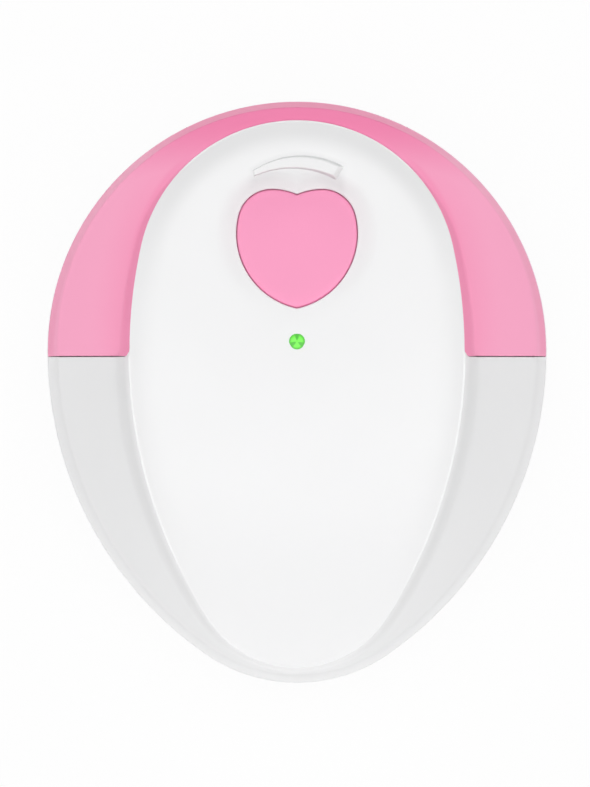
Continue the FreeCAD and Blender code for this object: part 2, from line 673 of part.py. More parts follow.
plinth = make_plinth()
top_form = common("TopForm", rim_outer, fuse("TopUnion", flank_outer, plinth))
FAR = "case_side_radius"
front_half = box("FrontHalf", "-" + FAR, FAR, "-" + FAR, "colour_seam_y", "0", ABOVE)
seam_prism = egg_prism("SeamPrism", "panel", "panel_lip", "belt_height", ABOVE + " - belt_height")
seat = common("Seat", rim_seat, flank_seat)
white_region = fuse("WhiteRegion", front_half, seam_prism, seat)


def make_front_shell():
    outside = cut("FrontOutside", common("FrontWhole", top_form, white_region), dish_ball)
    core = common("PanelCore",
                  egg_prism("CorePrism", "panel", "panel_lip + seat_wall", "belt_height",
                            ABOVE + " - belt_height"), face_inner)
    front_room = common("FrontRoom", flank_front_inner, front_half)
    room = common("Room", rim_inner, fuse("RoomUnion", flank_rear_inner, front_room, core))
    pillars = rods("Pillar", BOSSES, "belt_height", ABOVE, "pillar_radius")
    posts = rods("BoardPost", POSTS, "board_top", ABOVE, "post_radius")
    cavity = cut("Cavity", room, dish_under, *pillars, *posts)
    skirt_ring = cut("SkirtRing",
                     egg_prism("SkirtOuter", "case", "base_wall + fit_gap", "belt_height - skirt_drop",
                               "skirt_drop"),
                     egg_prism("SkirtInner", "case", "base_wall + fit_gap + skirt_wall",
                               "belt_height - skirt_drop - overrun", "skirt_drop + 2 * overrun"),
                     *rods("SkirtGap", BOSSES, "0", "belt_height", "boss_radius + fit_gap"))
    shell = fuse("FrontBody", cut("FrontHollow", outside, cavity), skirt_ring, make_mark())
    screw_holes = rods("PillarHole", BOSSES, "0", "belt_height + screw_bite + fit_gap",
                       "screw_radius + fit_gap / 2")
    post_holes = rods("PostHole", POSTS, "0", "board_top + small_bite + fit_gap",
                      "small_screw_radius + fit_gap / 2")
    heart_hole = heart_prism("HeartHole", "heart_gap")
    light_hole = rod("LightHole", "0", "light_y", "belt_height", ABOVE, "light_radius + fit_gap")
    return cut("front_shell", shell, heart_hole, light_hole, *screw_holes, *post_holes)


def make_mark():
    """Raised crescent that thickens to the right, on the dish's upper slope."""
    body = new_body("MarkPrism")
    sketch = new_sketch(body, "XY_Plane", "belt_height")
    names = ["-mark_left_x", "mark_right_x", "mark_inner_right_x", "-mark_inner_left_x"]
    outer_left, outer_right, inner_right, inner_left = [number(words) for words in names]
    vector = FreeCAD.Vector
    p1 = vector(outer_left, number("mark_outer_left_y"), 0)
    p2 = vector(outer_right, number("mark_outer_right_y"), 0)
    p3 = vector(inner_right, number("mark_inner_right_y"), 0)
    p4 = vector(inner_left, number("mark_inner_left_y"), 0)
    sketch.addGeometry(Part.Arc(p1, vector(0, number("mark_outer_mid_y"), 0), p2))
    line(sketch, p2.x, p2.y, p3.x, p3.y)
    sketch.addGeometry(Part.Arc(p3, vector(0, number("mark_inner_mid_y"), 0), p4))
    line(sketch, p4.x, p4.y, p1.x, p1.y)
    pad(body, sketch, ABOVE + " - belt_height")
    layer = cut("MarkLayer", face_ball("MarkDeep", "dish_radius + mark_root", dish_line),
                face_ball("MarkHigh", "dish_radius - mark_raise", dish_line))
    return common("Mark", body, layer)


def make_heart():
    """Heart button: domed top, flange that follows the dish, and a stem."""
    under = "dish_radius + front_wall + heart_gap + heart_flange_wall"
    lower = face_ball("HeartUnder", under, dish_line)
    upper = face_ball("HeartCrown", "heart_crown_radius",
                      "face_along - dish_depth + heart_rise - heart_crown_radius")
    button = common("HeartTop", heart_prism("HeartPrism", "0"), lower, upper)
    flange = cut("HeartFlange", common("HeartFlangeBlock", heart_prism("FlangePrism", "heart_flange"), lower),
                 face_ball("HeartFlangeTop", "dish_radius + front_wall + heart_gap", dish_line))
    stem = rod("HeartStem", "0", "dish_y", "board_top + switch_height + plunger_out",
               "face_height - dish_depth - front_wall", "stem_radius")
    return fuse("heart_button", button, flange, stem)


def make_base():
    hollow = egg_prism("BaseHollow", "case", "base_wall", "base_bottom + base_wall", "belt_height")
    round_edges(hollow, hollow.Tip, "bottom_fillet - base_wall", "base_bottom + base_wall")
    bosses = rods("Boss", BOSSES, "base_bottom", "belt_height", "boss_radius")
    rear_posts = rods("RearPost", REAR_POSTS, "base_bottom + base_wall / 2", "rear_board_bottom",
                      "rear_post_radius")
    rib_x = "door_length / 2 + door_gap + fit_gap"
    ribs = []
    for name, x1, x2 in (("RibRight", rib_x, rib_x + " + rib_thick"),
                         ("RibLeft", "-(%s) - rib_thick" % rib_x, "-(%s)" % rib_x)):
        ribs.append(box(name, x1, x2, "battery_y - rib_length / 2", "battery_y + rib_length / 2",
                        "base_bottom + base_wall / 2", "base_bottom + base_wall + rib_height"))
    inner = common("BaseInner", base_outer, fuse("BaseStands", *bosses, *rear_posts, *ribs))
    body = fuse("BaseBody", cut("BaseCup", base_outer, hollow), inner)
    tools = [door_block("DoorOpening", "door_gap", "0", "base_bottom + base_wall + fit_gap")]
    tools.append(rod("ProbeHole", "0", "-probe_back", "0", "base_bottom + base_wall + fit_gap",
                     "probe_radius + probe_gap"))
    tools += rods("ScrewSink", BOSSES, "0", "screw_seat", "screw_head_radius + screw_gap")
    tools += rods("ScrewHole", BOSSES, "0", "belt_height + overrun", "screw_radius + screw_gap")
    tools += rods("RearPostHole", REAR_POSTS, "rear_board_bottom - small_bite - fit_gap",
                  "belt_height", "small_screw_radius + fit_gap / 2")
    for name, side in (("JackHoleRight", "jack_x"), ("JackHoleLeft", "-jack_x")):
        tools.append(rod_along_y(name, side, "jack_height", "jack_front", "case_side_radius", "jack_hole"))
    wheel_bottom = "wheel_top - wheel_thick"
    tools.append(box("WheelSlot", "-slot_half", "slot_half", "wheel_y", "case_side_radius",
                     wheel_bottom + " - slot_gap", "wheel_top + slot_gap"))
    scoop = doc.addObject("Part::Sphere", "Scoop")
    bind(scoop, Radius="scoop_radius", y_="case_rear - scoop_depth + scoop_radius",
         z_="wheel_top - wheel_thick / 2")
    tools.append(scoop)
    return cut("base_shell", body, *tools)


def door_block(label, outset, z1, z2):
    """A block with rounded corners, the battery door's outline in plan."""
    body = new_body(label)
    sketch = new_sketch(body, "XY_Plane", z1)
    half_x = "door_length / 2 + " + outset
    half_y = "door_width / 2 + " + outset
    corner = "door_corner + " + outset
    x, y, middle, r = number(half_x), number(half_y), number("battery_y"), number(corner)
    quarter = math.pi / 2
    for index, (sx, sy) in enumerate(((1, 1), (-1, 1), (-1, -1), (1, -1))):
        arc(sketch, sx * (x - r), middle + sy * (y - r), r, index * quarter, (index + 1) * quarter)
    line(sketch, x - r, middle + y, -x + r, middle + y)
    line(sketch, -x, middle + y - r, -x, middle - y + r)
    line(sketch, -x + r, middle - y, x - r, middle - y)
    line(sketch, x, middle - y + r, x, middle + y - r)
    for index in range(4):
        constrain(sketch, "Tangent", index, 2, 4 + index, 1)
        constrain(sketch, "Tangent", 4 + index, 2, (index + 1) % 4, 1)
        if index:
            constrain(sketch, "Equal", 0, index)
    constrain(sketch, "Vertical", 5)
    constrain(sketch, "Symmetric", 1, 3, 0, 3, -2)
    constrain(sketch, "Radius", 0, size=corner)
    constrain(sketch, "DistanceX", -1, 1, 0, 3, size="(%s) - (%s)" % (half_x, corner))
    constrain(sketch, "DistanceY", 3, 3, 0, 3, size="2 * ((%s) - (%s))" % (half_y, corner))
    constrain(sketch, "DistanceY", -1, 1, 0, 3, size="battery_y + (%s) - (%s)" % (half_y, corner))
    pad(body, sketch, "(%s) - (%s)" % (z2, z1))
    return body


DOOR_FRONT = "battery_y - door_width / 2"
DOOR_REAR = "battery_y + door_width / 2"
DOOR_TOP = "base_bottom + base_wall"


def make_door():
    """Battery door with two tabs in front, a latch at the back and grip ribs below."""
    plate = common("DoorPlate", door_block("DoorBlock", "0", "0", DOOR_TOP), base_outer)
    pieces = [plate]
    for name, side in (("TabRight", "tab_x"), ("TabLeft", "-tab_x")):
        x1 = side + " - tab_width / 2"
        x2 = side + " + tab_width / 2"
        pieces.append(box(name, x1, x2, DOOR_FRONT + " - tab_reach", DOOR_FRONT + " + tab_reach",
                          DOOR_TOP + " + fit_gap", DOOR_TOP + " + fit_gap + tab_thick"))
        pieces.append(box(name + "Root", x1, x2, DOOR_FRONT, DOOR_FRONT + " + tab_reach",
                          "base_bottom + base_wall / 2", DOOR_TOP + " + fit_gap + tab_thick / 2"))
    pieces.append(box("Latch", "-latch_width / 2", "latch_width / 2",
                      DOOR_REAR + " - latch_set_back - latch_thick", DOOR_REAR + " - latch_set_back",
                      "base_bottom + base_wall / 2", DOOR_TOP + " + latch_height"))
    for index in range(int(number("grip_count"))):
        y = "grip_y + %d * grip_pitch" % index
        pieces.append(box("Grip%d" % index, "-grip_length / 2", "grip_length / 2", y, y + " + grip_width",
                          "0", "base_bottom + base_wall / 2"))
    return fuse("battery_door", *pieces)


def make_foam_pad():
    return box("door_foam_pad", "-pad_length / 2", "pad_length / 2", "battery_y - pad_width / 2",
               "battery_y + pad_width / 2", DOOR_TOP, "battery_bottom")


def battery_block(name, inset):
    """The battery's outline with its long edges rounded, smaller all round by an inset."""
    half = "battery_width / 2 - " + inset
    block = box(name + "Block", "-battery_left + " + inset, "battery_right - " + inset,
                "battery_y - (%s)" % half, "battery_y + " + half,
                "battery_bottom + " + inset, "battery_bottom + battery_thick - " + inset)
    doc.recompute()
    rounded = doc.addObject("Part::Fillet", name)
    rounded.Base = block
    length = number("battery_length - 2 * " + inset)
    corner = number("battery_corner - " + inset)
    rounded.Edges = [(index, corner, corner) for index, edge in enumerate(block.Shape.Edges, start=1)
                     if abs(edge.BoundBox.XLength - length) < 0.01]
    return rounded


def make_battery():
    """9 V block: a closed steel can round two rows of three cells."""
    cut("battery", battery_block("CanOutside", "0"), battery_block("CanInside", "can_skin"))
    aside = "battery_width / 2 - can_skin - cell_radius"
    cells = []
    for low, z in enumerate(("battery_bottom + can_skin + cell_radius",
                             "battery_bottom + battery_thick - can_skin - cell_radius")):
        for place, y in enumerate(("battery_y - (%s)" % aside, "battery_y", "battery_y + " + aside)):
            cells.append(rod_along_x("Cell%d%d" % (low, place), "-battery_left + can_skin",
                                     "-battery_left + can_skin + cell_length", y, z, "cell_radius"))
    return group("battery_cells", *cells)


def terminal(name, side, extra, end):
    y = "battery_y %s terminal_pitch / 2" % side
    return rod_along_x(name, "battery_right", "battery_right + " + end, y, "battery_middle",
                       "terminal_radius + " + extra)


def make_terminals():
    return group("battery_terminals", terminal("TerminalPlus", "+", "0", "terminal_height"),
                 terminal("TerminalMinus", "-", "0", "terminal_height"))


def make_snap():
    """Battery snap: a block with two sockets that go over the terminals."""
    x1 = "battery_right + snap_wall"
    block = box("SnapBlock", x1, x1 + " + snap_thick", "battery_y - snap_width / 2",
                "battery_y + snap_width / 2", "battery_middle - snap_height / 2",
                "battery_middle + snap_height / 2")
    return cut("battery_snap", block, terminal("SocketPlus", "+", "fit_gap", "terminal_height + fit_gap"),
               terminal("SocketMinus", "-", "fit_gap", "terminal_height + fit_gap"))


PROBE_TOP = "base_bottom + base_wall + gasket_thick + probe_flange_thick"


def half_disc(name, x1, x2, z1, z2):
    """The part of a disc in the probe that lies between two places across."""
    side = box(name + "Side", x1, x2, "-probe_back - disc_radius", "-probe_back + disc_radius", "0", ABOVE)
    return common(name, rod(name + "Disc", "0", "-probe_back", z1, z2, "disc_radius"), side)


def make_probe():
    """The probe's stack, from the face that touches the skin up to the cup."""
    lens_body = new_body("LensDisc")
    sketch = new_sketch(lens_body, "XY_Plane", "0")
    sketch.addGeometry(Part.Circle(FreeCAD.Vector(0, -number("probe_back"), 0), FreeCAD.Vector(0, 0, 1),
                                   number("probe_radius")))
    constrain(sketch, "Radius", 0, size="probe_radius")
    constrain(sketch, "PointOnObject", 0, 3, -2)
    constrain(sketch, "DistanceY", 0, 3, -1, 1, size="probe_back")
    disc = pad(lens_body, sketch, PROBE_TOP)
    round_edges(lens_body, disc, "probe_edge", "0")
    flange_bottom = "base_bottom + base_wall + gasket_thick"
    y = "-probe_back"
    flange_radius = "probe_radius + probe_flange"
    fuse("probe_lens", lens_body, rod("LensFlange", "0", y, flange_bottom, PROBE_TOP, flange_radius))
    cut("probe_gasket", rod("GasketDisc", "0", y, "base_bottom + base_wall", flange_bottom, flange_radius),
        rod("GasketHole", "0", y, "0", flange_bottom + " + overrun", "probe_radius + probe_gap"))
    split = "divider_thick / 2"
    disc_top = PROBE_TOP + " + disc_thick"
    half_disc("piezo_transmitter", "-disc_radius", "-" + split, PROBE_TOP, disc_top)
    half_disc("piezo_receiver", split, "disc_radius", PROBE_TOP, disc_top)
    group("probe_backing",
          half_disc("BackingLeft", "-disc_radius", "-" + split, disc_top, disc_top + " + backing_thick"),
          half_disc("BackingRight", split, "disc_radius", disc_top, disc_top + " + backing_thick"))
    inside = "cup_radius - cup_wall"
    box("probe_divider", "-" + split, split, y + " - disc_radius", y + " + disc_radius", PROBE_TOP,
        PROBE_TOP + " + disc_thick + backing_thick")
    cut("probe_cup", rod("CupOutside", "0", y, PROBE_TOP, PROBE_TOP + " + cup_height", "cup_radius"),
        rod("CupInside", "0", y, "0", PROBE_TOP + " + cup_height - cup_wall", inside))
    runs = []
    for side in ("-", ""):
        x = side + "4 * lead_radius"
        rise = PROBE_TOP + " + cup_height"
        turn = "(%s + board_bottom) / 2" % rise
        away = y + " + disc_radius / 2"
        runs.append([(x, y, rise), (x, y, turn), (x, away, turn), (x, away, "board_bottom")])
    lead("probe_leads", runs)


def chip(label, x, y, length):
    """A chip in a flat package; each strip below it is the pair of legs at its two sides."""
    half = "package_width / 2"
    pieces = [box(label + "Package", "%s - %s / 2" % (x, length), "%s + %s / 2" % (x, length),
                  "%s - %s" % (y, half), "%s + %s" % (y, half), "board_top + leg_lift",
                  "board_top + leg_lift + package_height")]
    count = int(number(length) / number("leg_pitch"))
    for index in range(count):
        left = "%s + (%d - (%d - 1) / 2) * leg_pitch - leg_width / 2" % (x, index, count)
        pieces.append(box("%sLeg%d" % (label, index), left, left + " + leg_width",
                          "%s - %s - leg_reach" % (y, half), "%s + %s + leg_reach" % (y, half),
                          "board_top", "board_top + leg_thick"))
    return fuse(label, *pieces)


def screws(label, heads, shanks):
    pairs = enumerate(zip(heads, shanks))
    return group(label, *[fuse("%sScrew%d" % (label, index), *pair) for index, pair in pairs])


def make_main_board():
    plate = box("BoardPlate", "-board_half", "board_half", "-board_back", "board_front", "board_bottom",
                "board_top")
    cut("main_board", plate, *rods("BoardHole", POSTS, "0", ABOVE, "small_screw_radius + screw_gap"))
    chip("audio_chip", "-audio_left", "audio_y", "audio_length")
    chip("driver_chip", "driver_x", "-driver_back", "driver_length")
    cap_top = "board_top + cap_height"
    group("capacitor_group", rod("CapacitorA", "cap_x", "cap_y", "board_top", cap_top, "cap_radius"),
          rod("CapacitorB", "cap_x", "cap_y + cap_pitch", "board_top", cap_top, "cap_radius"),
          rod("CapacitorC", "-cap_x", "small_cap_y", "board_top", cap_top, "small_cap_radius"))
    box("crystal", "-crystal_left - crystal_length / 2", "-crystal_left + crystal_length / 2",
        "-crystal_back - crystal_width / 2", "-crystal_back + crystal_width / 2", "board_top",
        "board_top + crystal_height")
    half = "switch_size / 2"
    top = "board_top + switch_height"
    case = box("SwitchCase", "-" + half, half, "dish_y - " + half, "dish_y + " + half, "board_top", top)
    bottom = top + " - plunger_in"
    cut("tact_switch", case, rod("SwitchBore", "0", "dish_y", bottom + " - press_travel - plunger_room",
                                 top + " + overrun", "plunger_radius + plunger_room"))
    rod("switch_plunger", "0", "dish_y", bottom, top + " + plunger_out", "plunger_radius")
    box("led_body", "-light_radius", "light_radius", "light_y - light_radius", "light_y + light_radius",
        "board_top", "board_top + light_radius")
    heads = rods("SmallHead", POSTS, "board_bottom - small_head_height", "board_bottom", "small_head_radius")
    shanks = rods("SmallShank", POSTS, "board_bottom - small_head_height", "board_top + small_bite",
                  "small_screw_radius")
    screws("board_screws", heads, shanks)


def make_light():
    """Status light window: a clear rod from the lamp up to the dish's slope."""
    slope = "((dish_y - face_y) / face_along)"
    centre_y = "(face_y + (%s) * %s)" % (dish_line, slope)
    centre_z = "(face_height - face_along + (%s) * sqrt(1 - %s * %s))" % (dish_line, slope, slope)
    top = "%s - sqrt(dish_radius ^ 2 - (%s - light_y) ^ 2)" % (centre_z, centre_y)
    pipe = rod("LightPipe", "0", "light_y", "board_top + light_radius + fit_gap", top, "light_radius")
    flange_top = top + " - front_wall - light_radius"
    flange = rod("LightFlange", "0", "light_y", flange_top + " - light_radius", flange_top,
                 "2 * light_radius")
    fuse("led_lens", pipe, flange)


def make_rear_parts():
    """Rear board with the volume pot and its wheel, and the two sockets."""
    top = "rear_board_bottom + rear_board_thick"
    plate = box("RearPlate", "-rear_board_half", "rear_board_half", "rear_board_y", "case_rear",
                "rear_board_bottom", top)
    outline = egg_prism("RearOutline", "case", "rear_board_inset", "0", "belt_height")
    cut("rear_board", common("RearShape", plate, outline),
        *rods("RearHole", REAR_POSTS, "0", ABOVE, "small_screw_radius + screw_gap"))
    heads = rods("RearHead", REAR_POSTS, top, top + " + small_head_height", "small_head_radius")
    shanks = rods("RearShank", REAR_POSTS, "rear_board_bottom - small_bite", top, "small_screw_radius")
    screws("rear_board_screws", heads, shanks)
    pot = rod("PotCase", "0", "wheel_y", "rear_board_bottom - pot_height", "rear_board_bottom", "pot_radius")
    wheel_bottom = "wheel_top - wheel_thick"
    washer_bottom = wheel_bottom + " - wheel_gap - washer_thick"
    spindle = rod("Spindle", "0", "wheel_y", washer_bottom, "rear_board_bottom", "spindle_radius")
    fuse("volume_pot", pot, spindle)
    cut("wheel_washer", rod("WasherDisc", "0", "wheel_y", washer_bottom, washer_bottom + " + washer_thick",
                            "washer_radius"),
        rod("WasherHole", "0", "wheel_y", "0", ABOVE, "spindle_radius"))
    make_wheel(wheel_bottom)
    for label, side in (("headphone_jack_right", "jack_x"), ("headphone_jack_left", "-jack_x")):
        block = box(label + "Block", side + " - jack_width / 2", side + " + jack_width / 2", "jack_back",
                    "jack_front", "jack_height - jack_half", "jack_height + jack_half")
        nose = rod_along_y(label + "Nose", side, "jack_height", "jack_front - jack_nose_root",
                           "jack_front + jack_nose_length", "jack_nose")
        mouth = "jack_front + jack_nose_length"
        bore = rod_along_y(label + "Bore", side, "jack_height", mouth + " - jack_depth", mouth + " + overrun",
                           "jack_bore")
        cut(label, fuse(label + "Body", block, nose), bore)


def make_wheel(bottom):
    """Thumb wheel with a grooved rim."""
    body = new_body("volume_wheel")
    sketch = new_sketch(body, "XY_Plane", bottom, "wheel_y")
    for radius in ("wheel_radius", "spindle_radius + spindle_play"):
        circle = Part.Circle(FreeCAD.Vector(0, 0, 0), FreeCAD.Vector(0, 0, 1), number(radius))
        index = sketch.addGeometry(circle)
        constrain(sketch, "Radius", index, size=radius)
        constrain(sketch, "Coincident", index, 3, -1, 1)
    pad(body, sketch, "wheel_thick")
    groove = new_sketch(body, "XY_Plane", bottom, "wheel_y")
    groove.addGeometry(Part.Circle(FreeCAD.Vector(0, number("wheel_radius + notch_radius / 2"), 0),
                                   FreeCAD.Vector(0, 0, 1), number("notch_radius")))
    constrain(groove, "PointOnObject", 0, 3, -2)
    constrain(groove, "Radius", 0, size="notch_radius")
    constrain(groove, "DistanceY", -1, 1, 0, 3, size="wheel_radius + notch_radius / 2")
    notch = pocket(body, groove, "wheel_thick", up=True)
    ring = body.newObject("PartDesign::PolarPattern", "WheelNotches")
    ring.Originals = [notch]
    ring.Axis = (sketch, ["N_Axis"])
    ring.Angle = 360
    ring.setExpression("Occurrences", of_sheet("wheel_notches"))
    body.Tip = ring
    return body


def make_case_screws():
    heads = rods("CaseHead", BOSSES, "screw_seat - screw_head_height", "screw_seat", "screw_head_radius")
    shanks = rods("CaseShank", BOSSES, "screw_seat - screw_head_height / 2", "belt_height + screw_bite",
                  "screw_radius")
    screws("case_screws", heads, shanks)


def make_leads():
    """Battery leads over the main board's edge, and the jumper to the rear board."""
    over = "board_top + lead_rise"
    start = "battery_middle + snap_height / 2"
    x1 = "battery_right + snap_wall + lead_exit"
    x2 = "board_half - lead_land"
    for label, y in (("battery_lead_red", "battery_y - lead_side"),
                     ("battery_lead_black", "battery_y - lead_side - lead_pitch")):
        lead(label, [[(x1, y, start), (x1, y, over), (x2, y, over), (x2, y, "board_top")]])
    rise = "rear_board_bottom + rear_board_thick"
    y1 = "rear_board_y + jumper_edge"
    y2 = "board_front - jumper_edge"
    height = "board_top + jumper_rise"
    runs = []
    for x in ("jumper_x", "jumper_x + jumper_pitch", "jumper_x + 2 * jumper_pitch"):
        runs.append([(x, y1, rise), (x, y1, height), (x, y2, height), (x, y2, "board_top")])
    lead("board_jumper", runs)


make_front_shell()
cut("crown_cover", top_form, white_region)
make_heart()
make_base()
make_door()
make_foam_pad()
make_battery()
make_terminals()
make_snap()
make_probe()
make_main_board()
make_light()
make_rear_parts()
make_case_screws()
make_leads()
doc.recompute()

NODES = [
    "front_shell", "crown_cover", "heart_button", "switch_plunger", "led_lens", "base_shell",
    "battery_door", "door_foam_pad", "battery", "battery_cells", "battery_terminals", "battery_snap",
    "battery_lead_red", "battery_lead_black", "probe_lens", "probe_gasket", "piezo_transmitter",
    "piezo_receiver", "probe_divider", "probe_backing", "probe_cup", "probe_leads", "main_board",
    "tact_switch", "led_body", "audio_chip", "driver_chip", "capacitor_group", "crystal",
    "board_screws", "rear_board", "rear_board_screws", "headphone_jack_left", "headphone_jack_right",
    "volume_pot", "volume_wheel", "wheel_washer", "board_jumper", "case_screws",
]

for item in doc.Objects:
    if "Invalid" in item.State or "Error" in item.State:
        raise RuntimeError("%s did not compute" % item.Name)
for node in NODES:
    shape = doc.getObject(node).Shape
    if shape.isNull() or not shape.isValid() or not shape.Solids:
        raise RuntimeError("%s has no valid solid" % node)
os.makedirs("parts", exist_ok=True)
for node in NODES:
    shape = doc.getObject(node).Shape
    shape.exportStep("parts/%s.step" % node)
    print("%-22s %d solid(s) %10.1f mm3" % (node, len(shape.Solids), shape.Volume))
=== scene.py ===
import json
import math

import bpy
import numpy as np
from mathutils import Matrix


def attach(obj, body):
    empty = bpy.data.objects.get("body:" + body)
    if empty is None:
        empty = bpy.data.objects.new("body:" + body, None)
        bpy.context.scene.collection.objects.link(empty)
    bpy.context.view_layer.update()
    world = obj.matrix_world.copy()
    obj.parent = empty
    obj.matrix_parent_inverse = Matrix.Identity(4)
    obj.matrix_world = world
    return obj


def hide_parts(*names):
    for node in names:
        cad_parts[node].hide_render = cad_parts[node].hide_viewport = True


# Pocket fetal doppler: looks round the fixed frame.
# Forms are worked out in millimetres and go into the meshes in metres.

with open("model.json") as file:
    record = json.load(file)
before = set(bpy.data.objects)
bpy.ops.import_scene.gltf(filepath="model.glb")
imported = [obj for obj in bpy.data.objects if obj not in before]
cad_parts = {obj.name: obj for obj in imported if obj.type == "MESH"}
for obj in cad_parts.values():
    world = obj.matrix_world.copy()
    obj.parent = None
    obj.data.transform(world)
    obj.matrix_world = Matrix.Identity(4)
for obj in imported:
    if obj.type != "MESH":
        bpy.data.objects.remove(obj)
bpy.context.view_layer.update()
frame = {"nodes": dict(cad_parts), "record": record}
nodes = frame["nodes"]
mm = 0.001
halvings = 40                        # steps of the search for a line along a ray


def degrees(angle):
    return math.radians(angle)


# an egg is (broad centre y, broad radius, side radius, narrow centre y, narrow radius)
# a barrel is (height, y of it, radius across, radius along)
case = {
    "outline": (6.83, 41.36, 61.19, -21.42, 26.68),
    "belt": 15.5,                    # seam between the two halves
    "rimWidth": 1.15,                # how far the side wall leans in between the belt and the flanks
    "flank": (35.8, 14.0, 58.8, 150.0),
    "flankCap": 0.4,                 # round where the flanks come up to the panel's border
    "flankSink": 2.0,                # slope at which the flanks go on down under the panel
    "rimSoft": (0.8, 3.0),           # round between flanks and side wall: at the broad end, elsewhere
    "rimSoftTurn": (30.0, 8.0),      # y: down to here the first, from here the second
    "seamY": 5.95,                   # cross seam between the cover and the white flanks
    "seamGap": 0.1,
    "seamCorner": 0.7,               # radius of the seam's sweep up the wall beside the panel
    "seamSweep": 2.5,                # way along y over which that sweep fades
    "seamTurn": (0.6, 2.2),          # distance off the border: seam edges still sharp, fully rounded
    "edgeRound": 0.3,
    "edgeSteps": 4,                  # of the quarter round under the side wall
}
panel = {
    "border": (18.58, 26.30, 80.53, -27.98, 17.23),
    "lip": 0.3,                      # the white border stands this far out of the cover's
    "lipTurn": (5.6, 7.2),           # y: full lip, no lip
    "wallLean": degrees(20),         # of the wall that goes down from the border to the flanks
    "crown": (36.9, 8.0, 130.0, 115.0),
    "borderCrown": (36.6, 8.0, 95.0, 115.0),   # the panel comes down to this one at its border
    "rollWidth": 4.8,
    "beadHeight": 0.22,              # thin bead along the border
    "beadWidth": 0.24,
    "beadInset": 0.12,
    "beadEnds": (-36.0, -26.0, 5.0, 9.0),   # y: starts, full, full, ends
    "borderSoft": 0.2,
    "footSoft": (2.4, 0.8),          # hollow between wall and flank: of the white flanks, of the cover
    "dishMiddle": (0.0, 18.6),
    "dishRadius": 22.3,
    "dishDepth": 1.55,
    "dishLeast": 0.01,               # keeps the dish's share defined where its ridge meets the heart
    "search": (5.0, 60.0),           # radii between which the border is looked for
}
heart = {
    "middle": (0.0, 24.0),
    "lobe": (4.18, 27.91, 5.5),      # centre x, centre y, radius
    "brow": (4.18, 23.15, 10.26),
    "side": (-2.6, 26.17, 12.5),
    "gap": 0.12,
    "holeRound": 0.24,
    "holeWall": (1.0, 0.7, 0.4, 0.15),   # depths of the rows of the hole's wall
    "recessDepth": (0.25, 1.1),      # more depth of the dish round the button: at its tip, at its lobes
    "recessTurn": (14.0, 26.0),      # y of these two
    "recessReach": 2.2,
    "search": (1.0, 20.0),           # radii between which its outline is looked for
}
mark = {
    "outer": ((-7.41, 36.5), (0.0, 39.06), (7.79, 37.2)),
    "inner": ((-7.15, 35.5), (0.0, 36.8), (6.45, 34.95)),
    "raise": (0.3, 0.95),            # at the thin end, at the thick end
    "lean": degrees(28),
    "endLean": degrees(42),
    "soft": 0.16,
    "root": 0.3,                     # how deep its edge goes into the panel
    "edgeLeast": 0.001,              # a rise below this is the edge
    "shade": (0.9, 2.4, 1.7),        # painted shade on the shell round the mark: this far above, below, beside it
    "shadeEnds": (0.1, 6.7),         # middle x and half the length
    "sideShadeFade": 0.3,                 # the painted shade on the long sides fades in over this height below the top
    "rows": 160,
    "rowPower": 0.9,                 # below 1 the rows stand closer at the thick end
    "columns": (16, 6),              # on each side, on the top
    "topShare": (0.35, 0.65),        # the part of the width that the top takes
    "wall": 0.3,
}


def insideEgg(x, y, egg):
    # distance inside an egg: radius of the arc whose sector holds the point, less the way to its centre
    topY, topR, sideR, tipY, tipR = egg
    span = topY - tipY
    below = ((sideR - topR) ** 2 - (sideR - tipR) ** 2 + span ** 2) / (2 * span)
    off = math.sqrt((sideR - topR) ** 2 - below ** 2)
    sideY = topY - below
    turn = np.arctan2(y - sideY, np.abs(x) + off)
    top = topR - np.hypot(x, y - topY)
    side = sideR - np.hypot(np.abs(x) + off, y - sideY)
    tip = tipR - np.hypot(x, y - tipY)
    high = math.atan2(topY - sideY, off)
    low = math.atan2(tipY - sideY, off)
    return np.where(turn > high, top, np.where(turn < low, tip, side))


def insideHeart(x, y):
    # distance inside the heart, whose right half is a brow arc, a lobe arc and a side arc
    midX, midY = heart["middle"]
    lobeX, lobeY, lobeR = heart["lobe"]
    browX, browY, browR = heart["brow"]
    sideX, sideY, sideR = heart["side"]
    away = np.abs(x)
    turn = np.arctan2(y - midY, away - midX)
    join = math.atan2(lobeY - sideY, lobeX - sideX)
    joinX, joinY = around((sideX, sideY), sideR, join)
    joinTurn = math.atan2(joinY - midY, joinX - midX)
    topTurn = math.atan2(lobeY + lobeR - midY, lobeX - midX)
    lobe = lobeR - np.hypot(away - lobeX, y - lobeY)
    brow = browR - np.hypot(away - browX, y - browY)
    side = sideR - np.hypot(away - sideX, y - sideY)
    return np.where(turn > topTurn, brow, np.where(turn > joinTurn, lobe, side))


def circleThrough(ends):
    # centre x, centre y and radius of the circle through three points
    (ax, ay), (bx, by), (cx, cy) = ends
    a, b, c = (x ** 2 + y ** 2 for x, y in ends)
    twice = 2 * (ax * (by - cy) + bx * (cy - ay) + cx * (ay - by))
    midX = (a * (by - cy) + b * (cy - ay) + c * (ay - by)) / twice
    midY = (a * (cx - bx) + b * (ax - cx) + c * (bx - ax)) / twice
    return midX, midY, math.hypot(ax - midX, ay - midY)


def around(middle, radii, angles):
    # points at radii from a middle, each on the ray at its angle
    return middle[0] + radii * np.cos(angles), middle[1] + radii * np.sin(angles)


def fullTurn(rays):
    # angles of evenly spread rays all round
    return np.linspace(0, 2 * math.pi, rays + 1)[:-1]


def quarterTurn(steps):
    # angles of the steps of a quarter round, after its start
    return np.linspace(0, math.pi / 2, steps + 1)[1:]


def barrel(x, y, form):
    # top of a solid turned about a line along Y: an arc along, a circle across
    height, middle, across, along = form
    radius = np.sqrt(along ** 2 - (y - middle) ** 2) - (along - across)
    return height - across + np.sqrt(np.maximum(radius ** 2 - x ** 2, 0))


